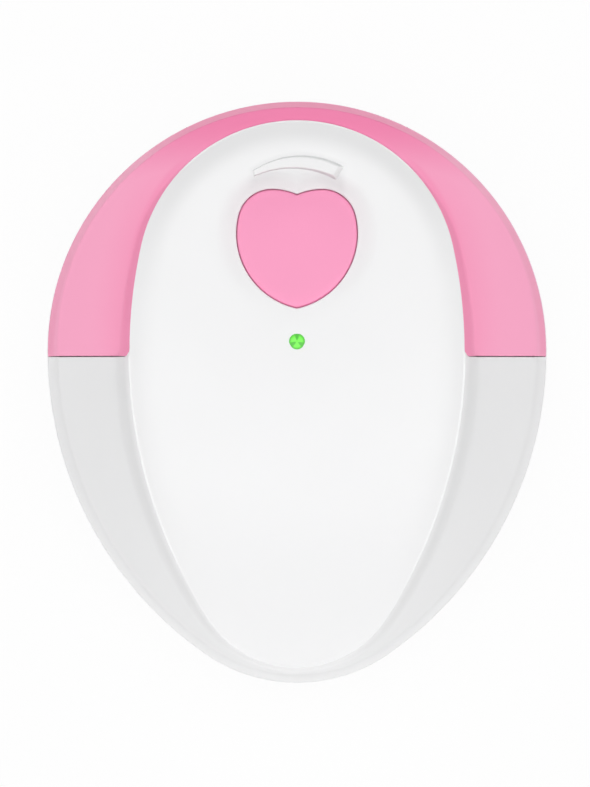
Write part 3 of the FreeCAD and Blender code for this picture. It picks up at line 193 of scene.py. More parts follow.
def smoothMin(a, b, soft):
    # the lower of two heights, with a parabola over the corner
    share = np.maximum(soft - np.abs(a - b), 0) / soft
    return np.minimum(a, b) - share ** 2 * soft / 4


def smoothMax(a, b, soft):
    # the higher of two heights, its corner filled in the same way
    return -smoothMin(-a, -b, soft)


def smoothStep(value, low, high):
    # 0 at low and 1 at high, three squares less two cubes of the share between; low may be the greater
    share = np.clip((value - low) / (high - low), 0, 1)
    return share * share * (3 - 2 * share)


def insideBorder(x, y):
    # distance inside the panel's egg, plus the lip up to the cross seam
    return insideEgg(x, y, panel["border"]) + panel["lip"] * (1 - smoothStep(y, *panel["lipTurn"]))


def panelHeight(x, y):
    # crown, less the thumb dish, which deepens from its ridge to the heart,
    # rolled off to the border, plus the bead
    crown = barrel(x, y, panel["crown"])
    away = np.maximum(-insideHeart(x, y), 0)
    midX, midY = panel["dishMiddle"]
    ridge = np.clip(panel["dishRadius"] - np.hypot(x - midX, y - midY), 0, None)
    towards = ridge / (ridge + away + panel["dishLeast"])
    low, high = heart["recessDepth"]
    recess = low + (high - low) * smoothStep(y, *heart["recessTurn"])
    dish = panel["dishDepth"] * towards ** 2 + recess * np.exp(-(away / heart["recessReach"]) ** 2)
    inside = insideBorder(x, y)
    roll = np.clip(1 - inside / panel["rollWidth"], 0, 1) ** 2
    top = crown + (barrel(x, y, panel["borderCrown"]) - crown) * roll - dish
    start, full, lastFull, end = panel["beadEnds"]
    bead = panel["beadHeight"] * smoothStep(y, start, full) * (1 - smoothStep(y, lastFull, end))
    return top + bead * np.exp(-((inside - panel["beadInset"]) / panel["beadWidth"]) ** 2)


def flankHeight(x, y):
    # the flanks' dome, which stays below the panel's border
    return smoothMin(barrel(x, y, case["flank"]), barrel(x, y, panel["borderCrown"]), case["flankCap"])


def rimHeight(x, y):
    # the side wall climbs from the belt to the flanks over the rim's width
    climb = insideEgg(x, y, case["outline"]) / case["rimWidth"]
    return case["belt"] + (flankHeight(x, y) - case["belt"]) * climb


def raisedHeight(x, y):
    # panel with the leaning wall round it
    inside = insideBorder(x, y)
    wall = barrel(x, y, panel["borderCrown"]) + inside / math.tan(panel["wallLean"])
    return smoothMin(panelHeight(x, y), wall, panel["borderSoft"])


def upperHeight(x, y):
    # the higher of the panel and the flanks, which sink away under it, with a hollow between them
    whiteFoot, coverFoot = panel["footSoft"]
    foot = np.where(y < case["seamY"], whiteFoot, coverFoot)
    under = np.clip(insideBorder(x, y), 0, None)
    return smoothMax(flankHeight(x, y) - case["flankSink"] * under, raisedHeight(x, y), foot)


def topHeight(x, y):
    # the side wall trims the top
    sharp, soft = case["rimSoft"]
    rimRound = sharp + (soft - sharp) * smoothStep(y, *case["rimSoftTurn"])
    return smoothMin(upperHeight(x, y), rimHeight(x, y), rimRound)


def sideShare(x, y, wide):
    # 1 on the side wall, 0 on the top, turning over a height
    return smoothStep(upperHeight(x, y) - rimHeight(x, y), -wide, wide)


def markShade(x, y):
    # share of painted shade round the mark: 1 at the mark's foot, 0 beyond a distance that is greater on
    # its inner side
    outerX, outerY, outerR = circleThrough(mark["outer"])
    innerX, innerY, innerR = circleThrough(mark["inner"])
    above, below, aside = mark["shade"]
    middleX, half = mark["shadeEnds"]
    over = (np.hypot(x - outerX, y - outerY) - outerR) / above
    under = (innerR - np.hypot(x - innerX, y - innerY)) / below
    beside = (np.abs(x - middleX) - half) / aside
    return 1 - smoothStep(np.maximum(np.maximum(over, under), beside), 0, 1)


def reach(angles, middle, near, far, value):
    # radius along each ray at which value(x, y) goes from positive to negative, by halving
    low = np.broadcast_to(near, angles.shape).astype(float)
    high = np.broadcast_to(far, angles.shape).astype(float)
    for _ in range(halvings):
        half = (low + high) / 2
        positive = value(*around(middle, half, angles)) > 0
        low = np.where(positive, half, low)
        high = np.where(positive, high, half)
    return (low + high) / 2


def heartReach(angles, gap):
    # radii of the heart's outline, set out by a gap
    return reach(angles, heart["middle"], *heart["search"], lambda x, y: insideHeart(x, y) + gap)


def borderReach(angles, middle, gap):
    # radii of the panel's border, set out by a gap, as it lies once the seam's sweep has moved it
    return reach(angles, middle, *panel["search"], lambda x, y: insideBorder(x, y + seamShift(x, y)) + gap)


def makeMesh(name, points, faces, smooth=True):
    # an object at the origin from points in millimetres and lists of vertex numbers
    mesh = bpy.data.meshes.new(name)
    mesh.from_pydata((points * mm).tolist(), [], faces)
    mesh.validate()
    mesh.polygons.foreach_set("use_smooth", np.full(len(mesh.polygons), smooth))
    mesh.update()
    piece = bpy.data.objects.new(name, mesh)
    bpy.context.scene.collection.objects.link(piece)
    return piece


def setAttribute(piece, name, values):
    # one value for each vertex, which the materials read by its name
    attribute = piece.data.attributes.new(name, "FLOAT", "POINT")
    attribute.data.foreach_set("value", np.ravel(values).astype(np.float32))


def joinGrids(*grids):
    # the points of several grids in one list, and each grid's array of vertex numbers
    points = np.concatenate([grid.reshape(-1, 3) for grid in grids])
    ends = np.cumsum([len(grid.reshape(-1, 3)) for grid in grids])[:-1]
    numbers = np.split(np.arange(len(points)), ends)
    return points, [part.reshape(grid.shape[:2]) for part, grid in zip(numbers, grids)]


def gridFaces(index, closed=False):
    # quads between neighbouring entries of an array of vertex numbers, rows along, columns outwards
    if closed:
        index = np.vstack([index, index[:1]])
    quads = np.stack([index[:-1, :-1], index[:-1, 1:], index[1:, 1:], index[1:, :-1]], axis=-1)
    return quads.reshape(-1, 4).tolist()


def tipFan(tip, ring, turned=False):
    # triangles between a tip and a closed ring of vertex numbers
    following = np.roll(ring, -1)
    pair = (following, ring) if turned else (ring, following)
    return np.stack([np.full_like(ring, tip), *pair], axis=-1).tolist()


def cappedFaces(index):
    # closed rings with a fan at either end, to the two points that follow the grid's own
    tip = int(index.max()) + 1
    inner = tipFan(tip, index[:, 0])
    outer = tipFan(tip + 1, index[:, -1], turned=True)
    return gridFaces(index, closed=True) + inner + outer


def solidify(piece, wall):
    # gives the surface a wall on its inner side
    layer = piece.modifiers.new("wall", "SOLIDIFY")
    layer.thickness = wall * mm
    layer.offset = -1
    return piece


def spread(start, end, steps, draw=0.0):
    # columns between two arrays of radii, drawn together at both ends by a sine
    share = np.linspace(0, 1, steps)
    share = share - draw * np.sin(2 * np.pi * share) / (2 * np.pi)
    return start[:, None] + (end - start)[:, None] * share


# the fans of rays that make the flanks, from the panel's border outwards
fan = {
    "footSearch": (-2.0, 9.0),       # where the wall's foot is looked for, from the border
    "outlineSearch": 60.0,
    "leastWall": 0.25,               # least widths of the wall and of the flank
    "leastFlank": 0.3,
    "footEdge": 0.7,                 # widths of the fine columns outside the foot and inside the rim
    "rimEdge": 0.6,
    "edgeShare": 0.3,                # or this share of the flank, where that is less
    "columns": (10, 6, 22, 6, 9),    # of wall, foot, flank, rim and side wall
    "draw": (0.5, 0.0, 0.3, 0.0, 0.5),   # how far each part's columns draw together at its ends
    "seamRays": (0, 0.0008, 0.0018, 0.003, 0.0045, 0.0065, 0.01, 0.016, 0.026),   # fine rays at the seam
    "evenFrom": 0.042,               # angle off the seam at which the even rays start
}


def fanRadii(angles, middle, start):
    # radii of a flank's columns: wall, foot crease, flank, rim crease, side wall
    near, far = fan["footSearch"]
    foot = reach(angles, middle, start + near, start + far,
                 lambda x, y: raisedHeight(x, y) - flankHeight(x, y))
    outline = reach(angles, middle, start, start + fan["outlineSearch"],
                    lambda x, y: insideEgg(x, y, case["outline"]))
    rim = reach(angles, middle, foot, outline, lambda x, y: rimHeight(x, y) - flankHeight(x, y))
    foot = np.maximum(foot, start + fan["leastWall"])
    rim = np.maximum(rim, foot + fan["leastFlank"])
    climb = flankHeight(*around(middle, outline, angles)) - case["belt"]
    belt = outline - case["edgeRound"] * case["rimWidth"] / climb
    footEdge = np.minimum(fan["footEdge"], (rim - foot) * fan["edgeShare"])
    rimEdge = np.minimum(fan["rimEdge"], (rim - foot) * fan["edgeShare"])
    lines = [start, foot, foot + footEdge, rim - rimEdge, rim, belt]
    parts = zip(lines, lines[1:], fan["columns"], fan["draw"])
    return np.hstack([start[:, None]] + [spread(*part)[:, 1:] for part in parts])


def beltRound(x, y, z, middle):
    # turns the last column in under the side wall by a quarter round
    turn = quarterTurn(case["edgeSteps"])
    way = np.stack([x[:, -1] - middle[0], y[:, -1] - middle[1]])
    way = way / np.hypot(*way)
    inward = case["edgeRound"] * (1 - np.cos(turn))
    drop = case["edgeRound"] * np.sin(turn)
    moreX = x[:, -1:] - way[0][:, None] * inward
    moreY = y[:, -1:] - way[1][:, None] * inward
    moreZ = z[:, -1:] - drop
    return np.hstack([x, moreX]), np.hstack([y, moreY]), np.hstack([z, moreZ])


def seamShift(x, y):
    # the cross seam sweeps up by a quarter round where it climbs the wall beside the panel
    corner = case["seamCorner"]
    left = corner - np.clip(-insideBorder(x, y), 0, corner)
    rise = corner - np.sqrt(corner ** 2 - left ** 2)
    return rise * np.exp(-((y - case["seamY"]) / case["seamSweep"]) ** 2)


def seamDrop(x, y, gapSide):
    # how far an edge has turned down, by a quarter round, at a distance from the seam's side:
    # on the flanks, but not on the steep wall
    radius = case["edgeRound"]
    near = np.clip(radius - gapSide, 0, radius)
    return (radius - np.sqrt(radius ** 2 - near ** 2)) * smoothStep(-insideBorder(x, y), *case["seamTurn"])


def seamAngles(start, end, steps):
    # angles across a fan, close together near both ends, where the edge turns down
    fine = np.array(fan["seamRays"])
    even = np.linspace(start + fan["evenFrom"], end - fan["evenFrom"], steps)
    return np.concatenate([start + fine, even, (end - fine)[::-1]])


def flankFan(angles, middle, border):
    # grid of a flank: rays from the border down to the belt, turned down along the seam and under the belt
    x, y = around(middle, fanRadii(angles, middle, border), angles[:, None])
    side = np.abs(y - middle[1])
    y = y + seamShift(x, y)
    z = topHeight(x, y) - seamDrop(x, y, side)
    return np.stack(beltRound(x, y, z, middle), axis=-1)


shell = {
    "wall": 0.9,
    "frontRays": 190,                # even rays over the white flanks
    "rearRays": 200,                 # rays over the cover's part of the border
    "holeColumns": (0, 0.01, 0.03, 0.06, 0.1, 0.14, 0.19, 0.24, 0.35, 0.6, 1.2, 2.0, 3.0),
    "panelColumns": 40,
    "borderColumns": (3.1, 2.2, 1.5, 1.0, 0.75, 0.6, 0.5, 0.42, 0.36, 0.3, 0.24, 0.18, 0.12, 0.06, 0),
    "rearWall": (0.15, 1.5),         # depths of the rows of the wall behind the cover
    "outside": (-0.1, 0.8),          # greyer flanks, partly their own tone and partly painted shade, by distance off the border: none, full
    "sideShadeLess": 0.75,                # share of it that the side wall loses, which paints the side wall lighter
    "sideTurn": 4.0,                 # height over which that turns
    "roll": (1.5, 4.5),              # painted shade on the panel's roll at the broad end, by distance inside the border: full, none
    "rollShadeEnds": (12, 42),            # y: none, full
}


def panelGrid(borderX, borderY):
    # rays from the heart's hole to the border, the hole's edge turned down into a wall
    middle = heart["middle"]
    rays = np.arctan2(borderY - middle[1], borderX - middle[0])
    far = np.hypot(borderY - middle[1], borderX - middle[0])
    near = heartReach(rays, heart["gap"])
    inner = near[:, None] + np.array(shell["holeColumns"])
    outer = far[:, None] - np.array(shell["borderColumns"])
    between = spread(inner[:, -1], outer[:, 0], shell["panelColumns"])[:, 1:-1]
    radii = np.hstack([inner, between, outer])
    x, y = around(middle, radii, rays[:, None])
    y = y + seamShift(x, y)
    holeRound = heart["holeRound"]
    hole = np.clip(holeRound - (radii - near[:, None]), 0, holeRound)
    z = topHeight(x, y) - (holeRound - np.sqrt(holeRound ** 2 - hole ** 2))
    grid = np.stack([x, y, z], axis=-1)
    wall = np.repeat(grid[:, :1], len(heart["holeWall"]), axis=1)
    wall[..., 2] -= np.array(heart["holeWall"])
    return np.hstack([wall, grid])


def makeFrontShell():
    # panel: rays from the heart's hole to the border; flanks: rays on from the border to the belt
    middle = np.array([0.0, case["seamY"] - case["seamGap"] / 2])
    frontAngles = seamAngles(math.pi, 2 * math.pi, shell["frontRays"])
    rearAngles = np.linspace(0, math.pi, shell["rearRays"])[1:-1]
    angles = np.concatenate([frontAngles, rearAngles + 2 * math.pi])
    border = borderReach(angles, middle, 0.0)
    front = slice(0, len(frontAngles))
    panelPoints = panelGrid(*around(middle, border, angles))
    flankPoints = flankFan(frontAngles, middle, border[front])[:, 1:]

    # behind the cover the panel ends in a short wall, so that the gap has a floor
    rear = np.r_[len(frontAngles) - 1:len(angles), 0]
    rearPoints = np.stack([panelPoints[rear, -1] - [0, 0, depth] for depth in shell["rearWall"]], axis=1)
    points, (panelIndex, flankIndex, rearIndex) = joinGrids(panelPoints, flankPoints, rearPoints)
    flankIndex = np.hstack([panelIndex[front, -1:], flankIndex])
    rearIndex = np.hstack([panelIndex[rear, -1:], rearIndex])
    faces = gridFaces(panelIndex, closed=True) + gridFaces(flankIndex) + gridFaces(rearIndex)
    piece = makeMesh("frontShell", points, faces)

    # the "flank" attribute: greyer flanks, partly their own tone and partly painted shade, with the side
    # wall painted lighter; painted shade on the panel's roll at the broad end and round the mark
    planX, planY = points[:, 0], points[:, 1]
    inside = insideBorder(planX, planY)
    sideShadeLess = shell["sideShadeLess"] * sideShare(planX, planY, shell["sideTurn"])
    outside = smoothStep(-inside, *shell["outside"]) * (1 - sideShadeLess)
    roll = (1 - smoothStep(inside, *shell["roll"])) * smoothStep(planY, *shell["rollShadeEnds"])
    setAttribute(piece, "flank", np.maximum(np.maximum(outside, roll), markShade(planX, planY)))
    return solidify(piece, shell["wall"])


cover = {
    "wall": 0.5,
    "rays": 300,
    "borderGap": 0.02,
    "beside": 0.5,                   # painted shade on the wall beside the panel, as a share of the flank tint
    "besideLess": ((0.28, 0.8, 1.8), (0.22, 1.0, 7.0)),   # how much of that painted shade goes, from and to a way off the border
    "side": 0.42,                    # painted shade on the side wall, as a share of the tint
    "sideTurn": 1.0,                 # height over which that turns
    "broadEndShade": (33.0, 45.0),        # painted shade at the broad end, y: none of it, full
}


def makeCrownCover():
    # a fan of rays over the broad end, from the panel's border down to the belt
    middle = np.array([0.0, case["seamY"] + case["seamGap"] / 2])
    angles = seamAngles(0, math.pi, cover["rays"])
    points, (index,) = joinGrids(flankFan(angles, middle, borderReach(angles, middle, cover["borderGap"])))
    piece = makeMesh("crownCover", points, gridFaces(index))
    # the "flank" attribute paints shade: a darker, deeper pink on the walls and at the broad end
    planX, planY = points[:, 0], points[:, 1]
    away = -insideBorder(planX, planY)
    beside = cover["beside"]
    for less, low, high in cover["besideLess"]:
        beside = beside - less * smoothStep(away, low, high)
    side = cover["side"] * sideShare(planX, planY, cover["sideTurn"])
    deep = np.maximum(side, smoothStep(planY, *cover["broadEndShade"]))
    setAttribute(piece, "flank", np.maximum(beside, deep))
    return solidify(piece, cover["wall"])


frontShell = makeFrontShell()
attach(frontShell, "case")
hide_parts("front_shell")
crownCover = makeCrownCover()
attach(crownCover, "case")
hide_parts("crown_cover")
print("stage: shells made")


button = {
    "crownCentre": (15.33, -25.81),  # y and z of the middle of the top's ball
    "crownRadius": 60.0,
    "edgeRound": 0.3,
    "flangeDrop": 1.1,               # flange below the panel's surface, clear of the shell's wall
    "flange": 1.0,
    "flangeWall": 1.0,
    "stemRadius": 2.5,
    "stemEnd": 28.4,                 # on the switch's plunger
    "rays": 360,
    "crownColumns": 26,
    "edgeSteps": 6,
    "firstRing": 0.02,               # share of the outline at which the rings start
}


def makeHeartButton():
    # rings round the heart: a crowned top, a rounded edge, the side, the flange below the gap and the stem
    middle = heart["middle"]
    angles = fullTurn(button["rays"])
    edge = button["edgeRound"]
    outline = heartReach(angles, 0.0)
    flange = heartReach(angles, button["flange"])
    inner = (outline - edge)[:, None] * np.linspace(button["firstRing"], 1, button["crownColumns"])
    rounded = outline[:, None] - edge + edge * np.sin(quarterTurn(button["edgeSteps"]))
    radii = np.hstack([inner, rounded])
    x, y = around(middle, radii, angles[:, None])
    crownY, crownZ = button["crownCentre"]
    z = crownZ + np.sqrt(button["crownRadius"] ** 2 - x ** 2 - (y - crownY) ** 2)
    drop = edge - np.sqrt(edge ** 2 - np.clip(radii - (outline[:, None] - edge), 0, edge) ** 2)
    z = z - drop
    sideZ = panelHeight(x[:, -1:], y[:, -1:]) - button["flangeDrop"]
    bottomZ = sideZ - button["flangeWall"]
    flangeX, flangeY = around(middle, flange[:, None], angles[:, None])
    stemX, stemY = around(middle, button["stemRadius"], angles[:, None])
    x = np.hstack([x, x[:, -1:], flangeX, flangeX, stemX, stemX])
    y = np.hstack([y, y[:, -1:], flangeY, flangeY, stemY, stemY])
    z = np.hstack([z, sideZ, sideZ, bottomZ, bottomZ, np.full_like(stemX, button["stemEnd"])])
    points, (index,) = joinGrids(np.stack([x, y, z], axis=-1))
    crownTop = crownZ + math.sqrt(button["crownRadius"] ** 2 - (middle[1] - crownY) ** 2)
    tips = [[*middle, crownTop], [*middle, button["stemEnd"]]]
    return makeMesh("heartButton", np.concatenate([points, tips]), cappedFaces(index))


heartButton = makeHeartButton()
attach(heartButton, "button")
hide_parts("heart_button")
print("stage: heart button made")


def arcThrough(ends, share):
    # points of the circle through three given points, from the first to the last
    midX, midY, radius = circleThrough(ends)
    first = math.atan2(ends[0][1] - midY, ends[0][0] - midX)
    last = math.atan2(ends[2][1] - midY, ends[2][0] - midX)
    return around((midX, midY), radius, first + (last - first) * share)


def makeMark():
    # a crescent between two arcs: its top climbs to its thick end, its sides and ends lean
    along = np.linspace(0, 1, mark["rows"])[:, None] ** mark["rowPower"]
    topStart, topEnd = mark["topShare"]
    sideColumns, topColumns = mark["columns"]
    across = np.concatenate([
        np.linspace(0, topStart, sideColumns),
        np.linspace(topStart, topEnd, topColumns)[1:-1],
        np.linspace(topEnd, 1, sideColumns),
    ])
    outerX, outerY = arcThrough(mark["outer"], along)
    innerX, innerY = arcThrough(mark["inner"], along)
    x = outerX + (innerX - outerX) * across
    y = outerY + (innerY - outerY) * across
    width = np.hypot(innerX - outerX, innerY - outerY)
    length = np.hypot(outerX[-1] - outerX[0], outerY[-1] - outerY[0])
    side = np.minimum(across, 1 - across) * width / math.tan(mark["lean"])
    end = (1 - along) * length / math.tan(mark["endLean"])
    start = along * length / math.tan(mark["endLean"])
    low, high = mark["raise"]
    top = low + (high - low) * along
    soft = mark["soft"]
    rise = smoothMin(smoothMin(top, side, soft), smoothMin(end, start, soft), soft)
    onEdge = np.minimum(side, np.minimum(end, start)) < mark["edgeLeast"]
    z = panelHeight(x, y) + np.where(onEdge, -mark["root"], rise)
    points, (index,) = joinGrids(np.stack([x, y, z], axis=-1))
    piece = makeMesh("volumeMark", points, gridFaces(index))
    # the long sides get painted shade through the "flank" attribute
    longSideShade = 1 - smoothStep(np.minimum(side, end) - top, -mark["sideShadeFade"], 0.0)
    setAttribute(piece, "flank", np.where(side < end, longSideShade, 0))
    return solidify(piece, mark["wall"])


volumeMark = makeMark()
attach(volumeMark, "case")
print("stage: volume mark made")


light = {
    "middle": (0.0, 8.4),
    "radius": 1.3,
    "lift": 0.08,                    # of its rim over the panel
    "rise": 0.28,
    "fallPower": 2.5,
    "petals": 3,
    "firstRib": degrees(90),
    "grooveDepth": 0.1,
    "grooveTurn": (0.0, 0.95),       # cosine off a groove's middle: beside it, in it
    "grooveStart": (0.0, 0.4),       # share of the radius: no groove, full
    "rim": (0.6, 1.0),               # share of the radius: painted shade at the rim starts, is full
    # how much painted shade darkens the rim, and the share of painted light at the middle
    "rimPaintedShade": 0.9,
    "middlePaintedLight": 0.6,
    "rays": 90,
    "rings": 20,
    "firstRing": 0.03,               # share of the radius at which the rings start
    "wall": 0.5,
}


def makeLightLens():
    # a faceted dome: three petals between three grooves, falling by a power of the radius
    angles = fullTurn(light["rays"])[:, None]
    share = np.linspace(light["firstRing"], 1, light["rings"])
    ribs = np.cos(light["petals"] * (angles - light["firstRib"]))
    groove = smoothStep(ribs, *light["grooveTurn"]) * smoothStep(share, *light["grooveStart"])
    rim = smoothStep(share, *light["rim"])
    x, y = around(light["middle"], light["radius"] * share, angles)
    dome = light["rise"] * (1 - share ** light["fallPower"])
    z = panelHeight(x, y) + light["lift"] + dome - light["grooveDepth"] * groove
    points, (index,) = joinGrids(np.stack([x, y, z], axis=-1))
    top = float(panelHeight(*np.array(light["middle"])) + light["rise"] + light["lift"])
    points = np.concatenate([points, [[*light["middle"], top]]])
    faces = gridFaces(index, closed=True) + tipFan(index.size, index[:, 0])
    piece = makeMesh("lightLens", points, faces)
    # painted light on the petals, painted shade in the grooves and at the rim
    paintedLight = (1 - groove) * (1 - light["rimPaintedShade"] * rim)
    setAttribute(piece, "paintedLight", np.append(paintedLight.ravel(), light["middlePaintedLight"]))
    return solidify(piece, light["wall"])


lightLens = makeLightLens()
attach(lightLens, "case")
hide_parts("led_lens")
print("stage: light made")


screw = {
    "places": ((24.0, 33.8), (-24.0, 33.8), (18.5, -32.0), (-18.5, -32.0)),
    "face": 2.4,                     # heights: the head's face, its seat, the tip
    "seat": 4.2,
    "tip": 23.5,
    "head": 2.4,
    "headRound": 0.35,
    "shank": 1.25,
    "crossReach": 1.35,
    "crossHalf": 0.3,
    "crossLean": 0.12,
    "crossDepth": 0.9,
    "turns": (10, 52, 33, 71),       # each cross stands at its own angle
    "rays": 96,
    "faceRings": 34,
    "firstRadius": 0.03,             # of the innermost ring
    "edgeSteps": 5,
}


def makeScrew(place, turned):
    # rings round a head with a cross recess in its face, the seat, the shank and its tip
    angles = -fullTurn(screw["rays"])[:, None]
    head, edge, shank = screw["head"], screw["headRound"], screw["shank"]
    roundTurn = quarterTurn(screw["edgeSteps"])
    face = np.linspace(screw["firstRadius"], head - edge, screw["faceRings"])
    faceZ = np.full(len(face), screw["face"])
    rounded = head - edge + edge * np.sin(roundTurn)
    roundZ = screw["face"] + edge * (1 - np.cos(roundTurn))
    radii = np.concatenate([face, rounded, [head, shank, shank]])
    heights = np.concatenate([faceZ, roundZ, [screw["seat"], screw["seat"], screw["tip"]]])
    flatX, flatY = around((0, 0), radii, angles)
    along = np.maximum(np.abs(flatX), np.abs(flatY))
    across = np.minimum(np.abs(flatX), np.abs(flatY))
    lean = screw["crossLean"]
    slot = 1 - smoothStep(across, screw["crossHalf"] - lean, screw["crossHalf"] + lean)
    end = 1 - smoothStep(along, screw["crossReach"] - 2 * lean, screw["crossReach"])
    z = heights + screw["crossDepth"] * slot * end
    turn = degrees(turned)
    x = place[0] + flatX * math.cos(turn) - flatY * math.sin(turn)
    y = place[1] + flatX * math.sin(turn) + flatY * math.cos(turn)
    points, (index,) = joinGrids(np.stack([x, y, z], axis=-1))
    tips = [[*place, screw["face"] + screw["crossDepth"]], [*place, screw["tip"]]]
    return np.concatenate([points, tips]), index


def makeCaseScrews():
    # the four screws in one mesh
    points, faces, count = [], [], 0
    for place, turned in zip(screw["places"], screw["turns"]):
        screwPoints, index = makeScrew(place, turned)
        faces += cappedFaces(index + count)
        points.append(screwPoints)
        count += len(screwPoints)
    return makeMesh("caseScrews", np.concatenate(points), faces)


caseScrews = makeCaseScrews()
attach(caseScrews, "case")
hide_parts("case_screws")
print("stage: case screws made")


# what all moulded and plain finishes share
skinFacts = {
    "flowScale": 90,
    "flowDetail": 3,
    "grainDetail": 2,
    "glossSpread": 0.04,             # roughness goes up and down by this
    "bumpDistance": 0.00005,
    "ior": 1.48,
    "shine": 0.5,                    # where a finish gives none
}


def newMaterial(name):
    # a material, its node tree and its main shader
    material = bpy.data.materials.new(name)
    material.use_nodes = True
    tree = material.node_tree
    shader = tree.nodes["Principled BSDF"]
    return material, tree, shader


def mouldedSkinGroup():
    # moulded plastic: fine grain in the height, faint flow marks in colour and gloss
    group = bpy.data.node_groups.new("mouldedSkin", "ShaderNodeTree")
    colour, number = "NodeSocketColor", "NodeSocketFloat"
    sockets = {
        "INPUT": (("Colour", colour), ("Deep", colour), ("Grain", number),
                  ("Gloss low", number), ("Gloss high", number)),
        "OUTPUT": (("Colour", colour), ("Roughness", number), ("Height", number)),
    }
    for side, named in sockets.items():
        for name, kind in named:
            group.interface.new_socket(name, in_out=side, socket_type=kind)
    add = group.nodes.new
    link = group.links.new
    given = add("NodeGroupInput")
    out = add("NodeGroupOutput")
    place = add("ShaderNodeTexCoord")
    flow = add("ShaderNodeTexNoise")
    flow.inputs["Scale"].default_value = skinFacts["flowScale"]
    flow.inputs["Detail"].default_value = skinFacts["flowDetail"]
    grain = add("ShaderNodeTexNoise")
    grain.inputs["Detail"].default_value = skinFacts["grainDetail"]
    tint = add("ShaderNodeMix")
    tint.data_type = "RGBA"
    gloss = add("ShaderNodeMapRange")
    link(place.outputs["Object"], flow.inputs["Vector"])
    link(place.outputs["Object"], grain.inputs["Vector"])
    link(given.outputs["Grain"], grain.inputs["Scale"])
    link(flow.outputs["Fac"], tint.inputs["Factor"])
    link(given.outputs["Colour"], tint.inputs["A"])
    link(given.outputs["Deep"], tint.inputs["B"])
    link(flow.outputs["Fac"], gloss.inputs["Value"])
    link(given.outputs["Gloss low"], gloss.inputs["To Min"])
    link(given.outputs["Gloss high"], gloss.inputs["To Max"])
    link(tint.outputs["Result"], out.inputs["Colour"])
    link(gloss.outputs["Result"], out.inputs["Roughness"])
    link(grain.outputs["Fac"], out.inputs["Height"])
    return group


mouldedSkin = mouldedSkinGroup()


def mouldedPlastic(name, look):
    # the skin's colour, times the flank tint by the piece's "flank" attribute where the finish has one:
    # painted shade, and on the white flanks partly their greyer tone
    material, tree, shader = newMaterial(name)
    skin = tree.nodes.new("ShaderNodeGroup")
    skin.node_tree = mouldedSkin
    skin.inputs["Colour"].default_value = (*look["colour"], 1)
    skin.inputs["Deep"].default_value = (*[c * look["deep"] for c in look["colour"]], 1)
    skin.inputs["Grain"].default_value = look["grain"]
    skin.inputs["Gloss low"].default_value = look["rough"] - skinFacts["glossSpread"]
    skin.inputs["Gloss high"].default_value = look["rough"] + skinFacts["glossSpread"]
    bump = tree.nodes.new("ShaderNodeBump")
    bump.inputs["Strength"].default_value = look["bump"]
    bump.inputs["Distance"].default_value = skinFacts["bumpDistance"]
    if "flank" in look:
        outside = tree.nodes.new("ShaderNodeAttribute")
        outside.attribute_name = "flank"
        tint = tree.nodes.new("ShaderNodeMix")
        tint.data_type = "RGBA"
        tint.blend_type = "MULTIPLY"
        tint.inputs["B"].default_value = (*look["flank"], 1)
        tree.links.new(outside.outputs["Fac"], tint.inputs["Factor"])
        tree.links.new(skin.outputs["Colour"], tint.inputs["A"])
        tree.links.new(tint.outputs["Result"], shader.inputs["Base Color"])
    else:
        tree.links.new(skin.outputs["Colour"], shader.inputs["Base Color"])
    tree.links.new(skin.outputs["Roughness"], shader.inputs["Roughness"])
    tree.links.new(skin.outputs["Height"], bump.inputs["Height"])
    tree.links.new(bump.outputs["Normal"], shader.inputs["Normal"])
    shader.inputs["IOR"].default_value = skinFacts["ior"]
    shader.inputs["Metallic"].default_value = look.get("metal", 0.0)
    shader.inputs["Specular IOR Level"].default_value = look.get("shine", skinFacts["shine"])
    return material
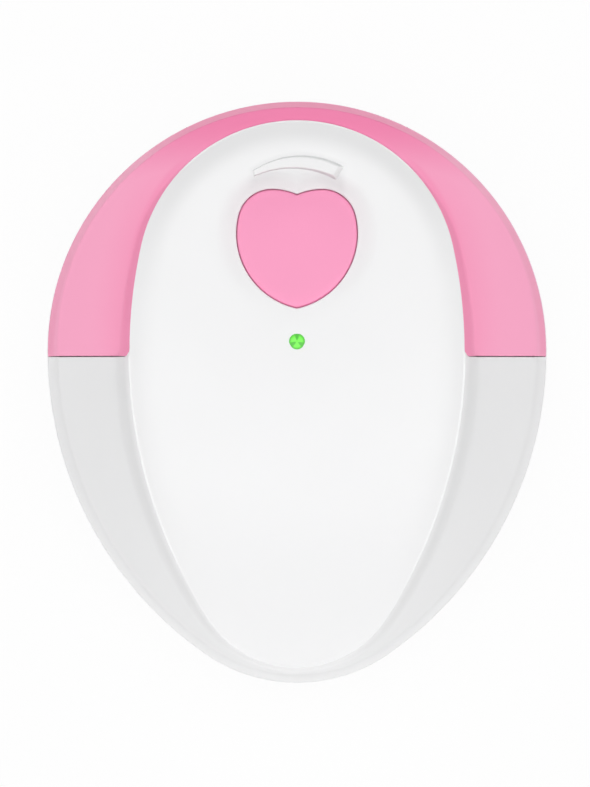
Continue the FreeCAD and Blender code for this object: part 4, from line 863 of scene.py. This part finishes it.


# deep is the flow marks' share of the colour, flank the tint that the "flank" attribute brings in: painted
# shade on walls, hollows and the mark, and partly the greyer tone of the white flanks
finishes = {
    "white_shell": {"colour": (0.90, 0.90, 0.905), "deep": 0.985, "grain": 1500, "rough": 0.32,
                    "bump": 0.08, "flank": (0.895, 0.895, 0.895)},
    # a darker copy of the white shell, which paints shade on the mark's top; its flank tint paints shade on
    # the long sides
    "mark_white_shaded": {"colour": (0.87, 0.87, 0.873), "deep": 0.985, "grain": 1500, "rough": 0.32,
                   "bump": 0.08, "flank": (0.84, 0.85, 0.85)},
    "pink_cover": {"colour": (0.99, 0.41, 0.60), "deep": 0.98, "grain": 1500, "rough": 0.42,
                   "bump": 0.1, "shine": 0.12, "flank": (0.93, 0.61, 0.75)},
    "pink_button": {"colour": (0.995, 0.352, 0.57), "deep": 0.985, "grain": 1800, "rough": 0.36,
                    "bump": 0.08, "shine": 0.3},
    "white_base": {"colour": (0.86, 0.86, 0.87), "deep": 0.97, "grain": 3500, "rough": 0.48, "bump": 0.5},
    "dark_plastic": {"colour": (0.03, 0.03, 0.033), "deep": 0.8, "grain": 3000, "rough": 0.45, "bump": 0.3},
    "foam": {"colour": (0.08, 0.08, 0.085), "deep": 0.6, "grain": 2500, "rough": 0.9, "bump": 1.0},
    "battery_jacket": {"colour": (0.05, 0.06, 0.09), "deep": 0.8, "grain": 900, "rough": 0.3, "bump": 0.1},
    "plated_steel": {"colour": (0.62, 0.62, 0.64), "deep": 0.85, "grain": 4000, "rough": 0.3,
                     "bump": 0.2, "metal": 1.0},
    "cell_cans": {"colour": (0.6, 0.6, 0.61), "deep": 0.9, "grain": 3000, "rough": 0.35,
                  "bump": 0.2, "metal": 1.0},
    "red_insulation": {"colour": (0.5, 0.02, 0.02), "deep": 0.8, "grain": 2500, "rough": 0.45, "bump": 0.2},
    "black_insulation": {"colour": (0.015, 0.015, 0.015), "deep": 0.8, "grain": 2500, "rough": 0.45,
                         "bump": 0.2},
    "grey_insulation": {"colour": (0.2, 0.2, 0.21), "deep": 0.85, "grain": 2500, "rough": 0.45,
                        "bump": 0.2},
    "probe_face": {"colour": (0.68, 0.71, 0.74), "deep": 0.97, "grain": 1200, "rough": 0.22, "bump": 0.08},
    "seal_rubber": {"colour": (0.03, 0.03, 0.03), "deep": 0.7, "grain": 2500, "rough": 0.7, "bump": 0.5},
    "piezo_silver": {"colour": (0.7, 0.68, 0.62), "deep": 0.85, "grain": 3500, "rough": 0.35,
                     "bump": 0.2, "metal": 1.0},
    "cork_brown": {"colour": (0.25, 0.14, 0.06), "deep": 0.55, "grain": 1200, "rough": 0.8, "bump": 0.8},
    "damping_block": {"colour": (0.1, 0.1, 0.11), "deep": 0.8, "grain": 1500, "rough": 0.6, "bump": 0.5},
    "probe_cup_grey": {"colour": (0.24, 0.24, 0.25), "deep": 0.9, "grain": 2500, "rough": 0.5, "bump": 0.3},
    "board_green": {"colour": (0.02, 0.12, 0.04), "deep": 0.7, "grain": 800, "rough": 0.35, "bump": 0.2},
    "lamp_white": {"colour": (0.8, 0.8, 0.65), "deep": 0.95, "grain": 2500, "rough": 0.4, "bump": 0.1},
    "chip_black": {"colour": (0.02, 0.02, 0.022), "deep": 0.8, "grain": 5000, "rough": 0.55, "bump": 0.4},
    "capacitor_sleeve": {"colour": (0.02, 0.03, 0.1), "deep": 0.8, "grain": 1500, "rough": 0.3,
                         "bump": 0.1},
    "pot_grey": {"colour": (0.1, 0.1, 0.11), "deep": 0.85, "grain": 2500, "rough": 0.5, "bump": 0.3},
    "wheel_grey": {"colour": (0.075, 0.075, 0.08), "deep": 0.85, "grain": 2500, "rough": 0.5, "bump": 0.4},
}
# the lens's painted colours: darker grooves as painted shade, lighter, glowing petals as painted light
windowLook = {
    "groove": (0.08, 0.46, 0.045),
    "petal": (0.175, 0.83, 0.075),
    "paintedLight": 0.25,
    "rough": 0.2,
    "coat": 0.2,
    "shine": 0.3,
}


def lightWindow():
    # clear green: the petals lighter and glowing as painted light, the grooves and rim darker as painted
    # shade, mixed by the lens's painted-light attribute
    material, tree, shader = newMaterial("light_window")
    paintedLight = tree.nodes.new("ShaderNodeAttribute")
    paintedLight.attribute_name = "paintedLight"
    ramp = tree.nodes.new("ShaderNodeMix")
    ramp.data_type = "RGBA"
    ramp.inputs["A"].default_value = (*windowLook["groove"], 1)
    ramp.inputs["B"].default_value = (*windowLook["petal"], 1)
    tree.links.new(paintedLight.outputs["Fac"], ramp.inputs["Factor"])
    tree.links.new(ramp.outputs["Result"], shader.inputs["Base Color"])
    tree.links.new(ramp.outputs["Result"], shader.inputs["Emission Color"])
    shader.inputs["Emission Strength"].default_value = windowLook["paintedLight"]
    shader.inputs["Roughness"].default_value = windowLook["rough"]
    shader.inputs["Coat Weight"].default_value = windowLook["coat"]
    shader.inputs["Specular IOR Level"].default_value = windowLook["shine"]
    return material


materials = {slot: mouldedPlastic(slot, look) for slot, look in finishes.items()}
materials["light_window"] = lightWindow()
slotOf = {part["node"]: part["material_slot"] for part in frame["record"]["subparts"]}
for name, node in nodes.items():
    node.data.materials.clear()
    node.data.materials.append(materials[slotOf[name]])
for piece, slot in ((frontShell, "white_shell"), (crownCover, "pink_cover"), (heartButton, "pink_button"),
                    (volumeMark, "mark_white_shaded"), (lightLens, "light_window"), (caseScrews, "plated_steel")):
    piece.data.materials.append(materials[slot])
print("stage: materials set")


# in metres
studio = {
    "floorSize": 6.0,
    "paper": (0.9, 0.9, 0.9),
    "backgroundShare": 0.93,         # of plain white in the floor, for rays that show it as background
    "fill": 0.08,                    # the world's light on the object
    "lamps": {
        "overhead": {"size": (1.5, 1.5), "place": (0, 0, 1.2), "watts": 13.0},
        "highLeft": {"size": (1.2, 0.5), "place": (-0.8, 0, 0.8), "watts": 1.9},
        "highRight": {"size": (1.2, 0.5), "place": (0.8, 0, 0.8), "watts": 1.9},
        "lowLeft": {"size": (1.2, 0.2), "place": (-1.0, 0, 0.11), "watts": 0.95},
        "lowRight": {"size": (1.2, 0.2), "place": (1.0, 0, 0.11), "watts": 0.95},
        "front": {"size": (1.2, 0.2), "place": (0, -1.0, 0.11), "watts": 3.7},
        "back": {"size": (1.2, 0.5), "place": (0, 1.0, 0.27), "watts": 0.5},
        "backLeft": {"size": (0.7, 0.2), "place": (-0.75, 0.75, 0.11), "watts": 1.15},
        "backRight": {"size": (0.7, 0.2), "place": (0.75, 0.75, 0.11), "watts": 1.15},
    },
}


def seenRay(tree):
    # 1 for rays from the camera, a mirror or clear material, else 0
    path = tree.nodes.new("ShaderNodeLightPath")
    first = tree.nodes.new("ShaderNodeMath")
    first.operation = "MAXIMUM"
    second = tree.nodes.new("ShaderNodeMath")
    second.operation = "MAXIMUM"
    tree.links.new(path.outputs["Is Camera Ray"], first.inputs[0])
    tree.links.new(path.outputs["Is Glossy Ray"], first.inputs[1])
    tree.links.new(first.outputs[0], second.inputs[0])
    tree.links.new(path.outputs["Is Transmission Ray"], second.inputs[1])
    return second.outputs[0]


def makeFloor():
    # a paper sheet that shows as white background and keeps a little of the object's shadow
    half = studio["floorSize"] / 2
    corners = np.array([[-half, -half, 0], [half, -half, 0], [half, half, 0], [-half, half, 0]]) / mm
    floor = makeMesh("floor", corners, [[0, 1, 2, 3]], smooth=False)
    material, tree, shader = newMaterial("paperFloor")
    tree.nodes.remove(shader)
    paper = tree.nodes.new("ShaderNodeBsdfDiffuse")
    paper.inputs["Color"].default_value = (*studio["paper"], 1)
    white = tree.nodes.new("ShaderNodeEmission")
    white.inputs["Strength"].default_value = 1.0
    share = tree.nodes.new("ShaderNodeMath")
    share.operation = "MULTIPLY"
    share.inputs[1].default_value = studio["backgroundShare"]
    mix = tree.nodes.new("ShaderNodeMixShader")
    tree.links.new(seenRay(tree), share.inputs[0])
    tree.links.new(share.outputs[0], mix.inputs["Fac"])
    tree.links.new(paper.outputs[0], mix.inputs[1])
    tree.links.new(white.outputs[0], mix.inputs[2])
    tree.links.new(mix.outputs[0], tree.nodes["Material Output"].inputs["Surface"])
    floor.data.materials.append(material)


def makeWorld():
    # white where it is seen, a faint fill on the object
    world = bpy.data.worlds.new("studioWorld")
    bpy.context.scene.world = world
    world.use_nodes = True
    tree = world.node_tree
    background = tree.nodes["Background"]
    background.inputs["Color"].default_value = (1, 1, 1, 1)
    strength = tree.nodes.new("ShaderNodeMapRange")
    strength.inputs["To Min"].default_value = studio["fill"]
    strength.inputs["To Max"].default_value = 1.0
    tree.links.new(seenRay(tree), strength.inputs["Value"])
    tree.links.new(strength.outputs["Result"], background.inputs["Strength"])


def makeLamp(name, facts):
    # a soft box that faces the origin
    data = bpy.data.lights.new(name, "AREA")
    data.shape = "RECTANGLE"
    data.size, data.size_y = facts["size"]
    data.energy = facts["watts"]
    lamp = bpy.data.objects.new(name, data)
    bpy.context.scene.collection.objects.link(lamp)
    lamp.location = facts["place"]
    aim = -lamp.location.normalized()
    lamp.rotation_euler = aim.to_track_quat("-Z", "Y").to_euler()
    lamp.visible_camera = False


makeFloor()
makeWorld()
for lampName, lampFacts in studio["lamps"].items():
    makeLamp(lampName, lampFacts)

shot = {
    "height": 3.0,
    "aim": (-0.00033, -0.00017),
    "frameLong": 0.1299,             # what the picture's longer side shows, at this height:
    "focus": 0.027,
    "sensor": 36.0,                  # millimetres
    "clip": (0.1, 20),
}
cameraData = bpy.data.cameras.new("camera")
cameraData.sensor_width = shot["sensor"]
cameraData.lens = shot["sensor"] * (shot["height"] - shot["focus"]) / shot["frameLong"]
cameraData.clip_start, cameraData.clip_end = shot["clip"]
camera = bpy.data.objects.new("camera", cameraData)
bpy.context.scene.collection.objects.link(camera)
camera.location = (*shot["aim"], shot["height"])
bpy.context.scene.camera = camera
bpy.context.scene.view_settings.view_transform = "Standard"
print("stage: studio set")
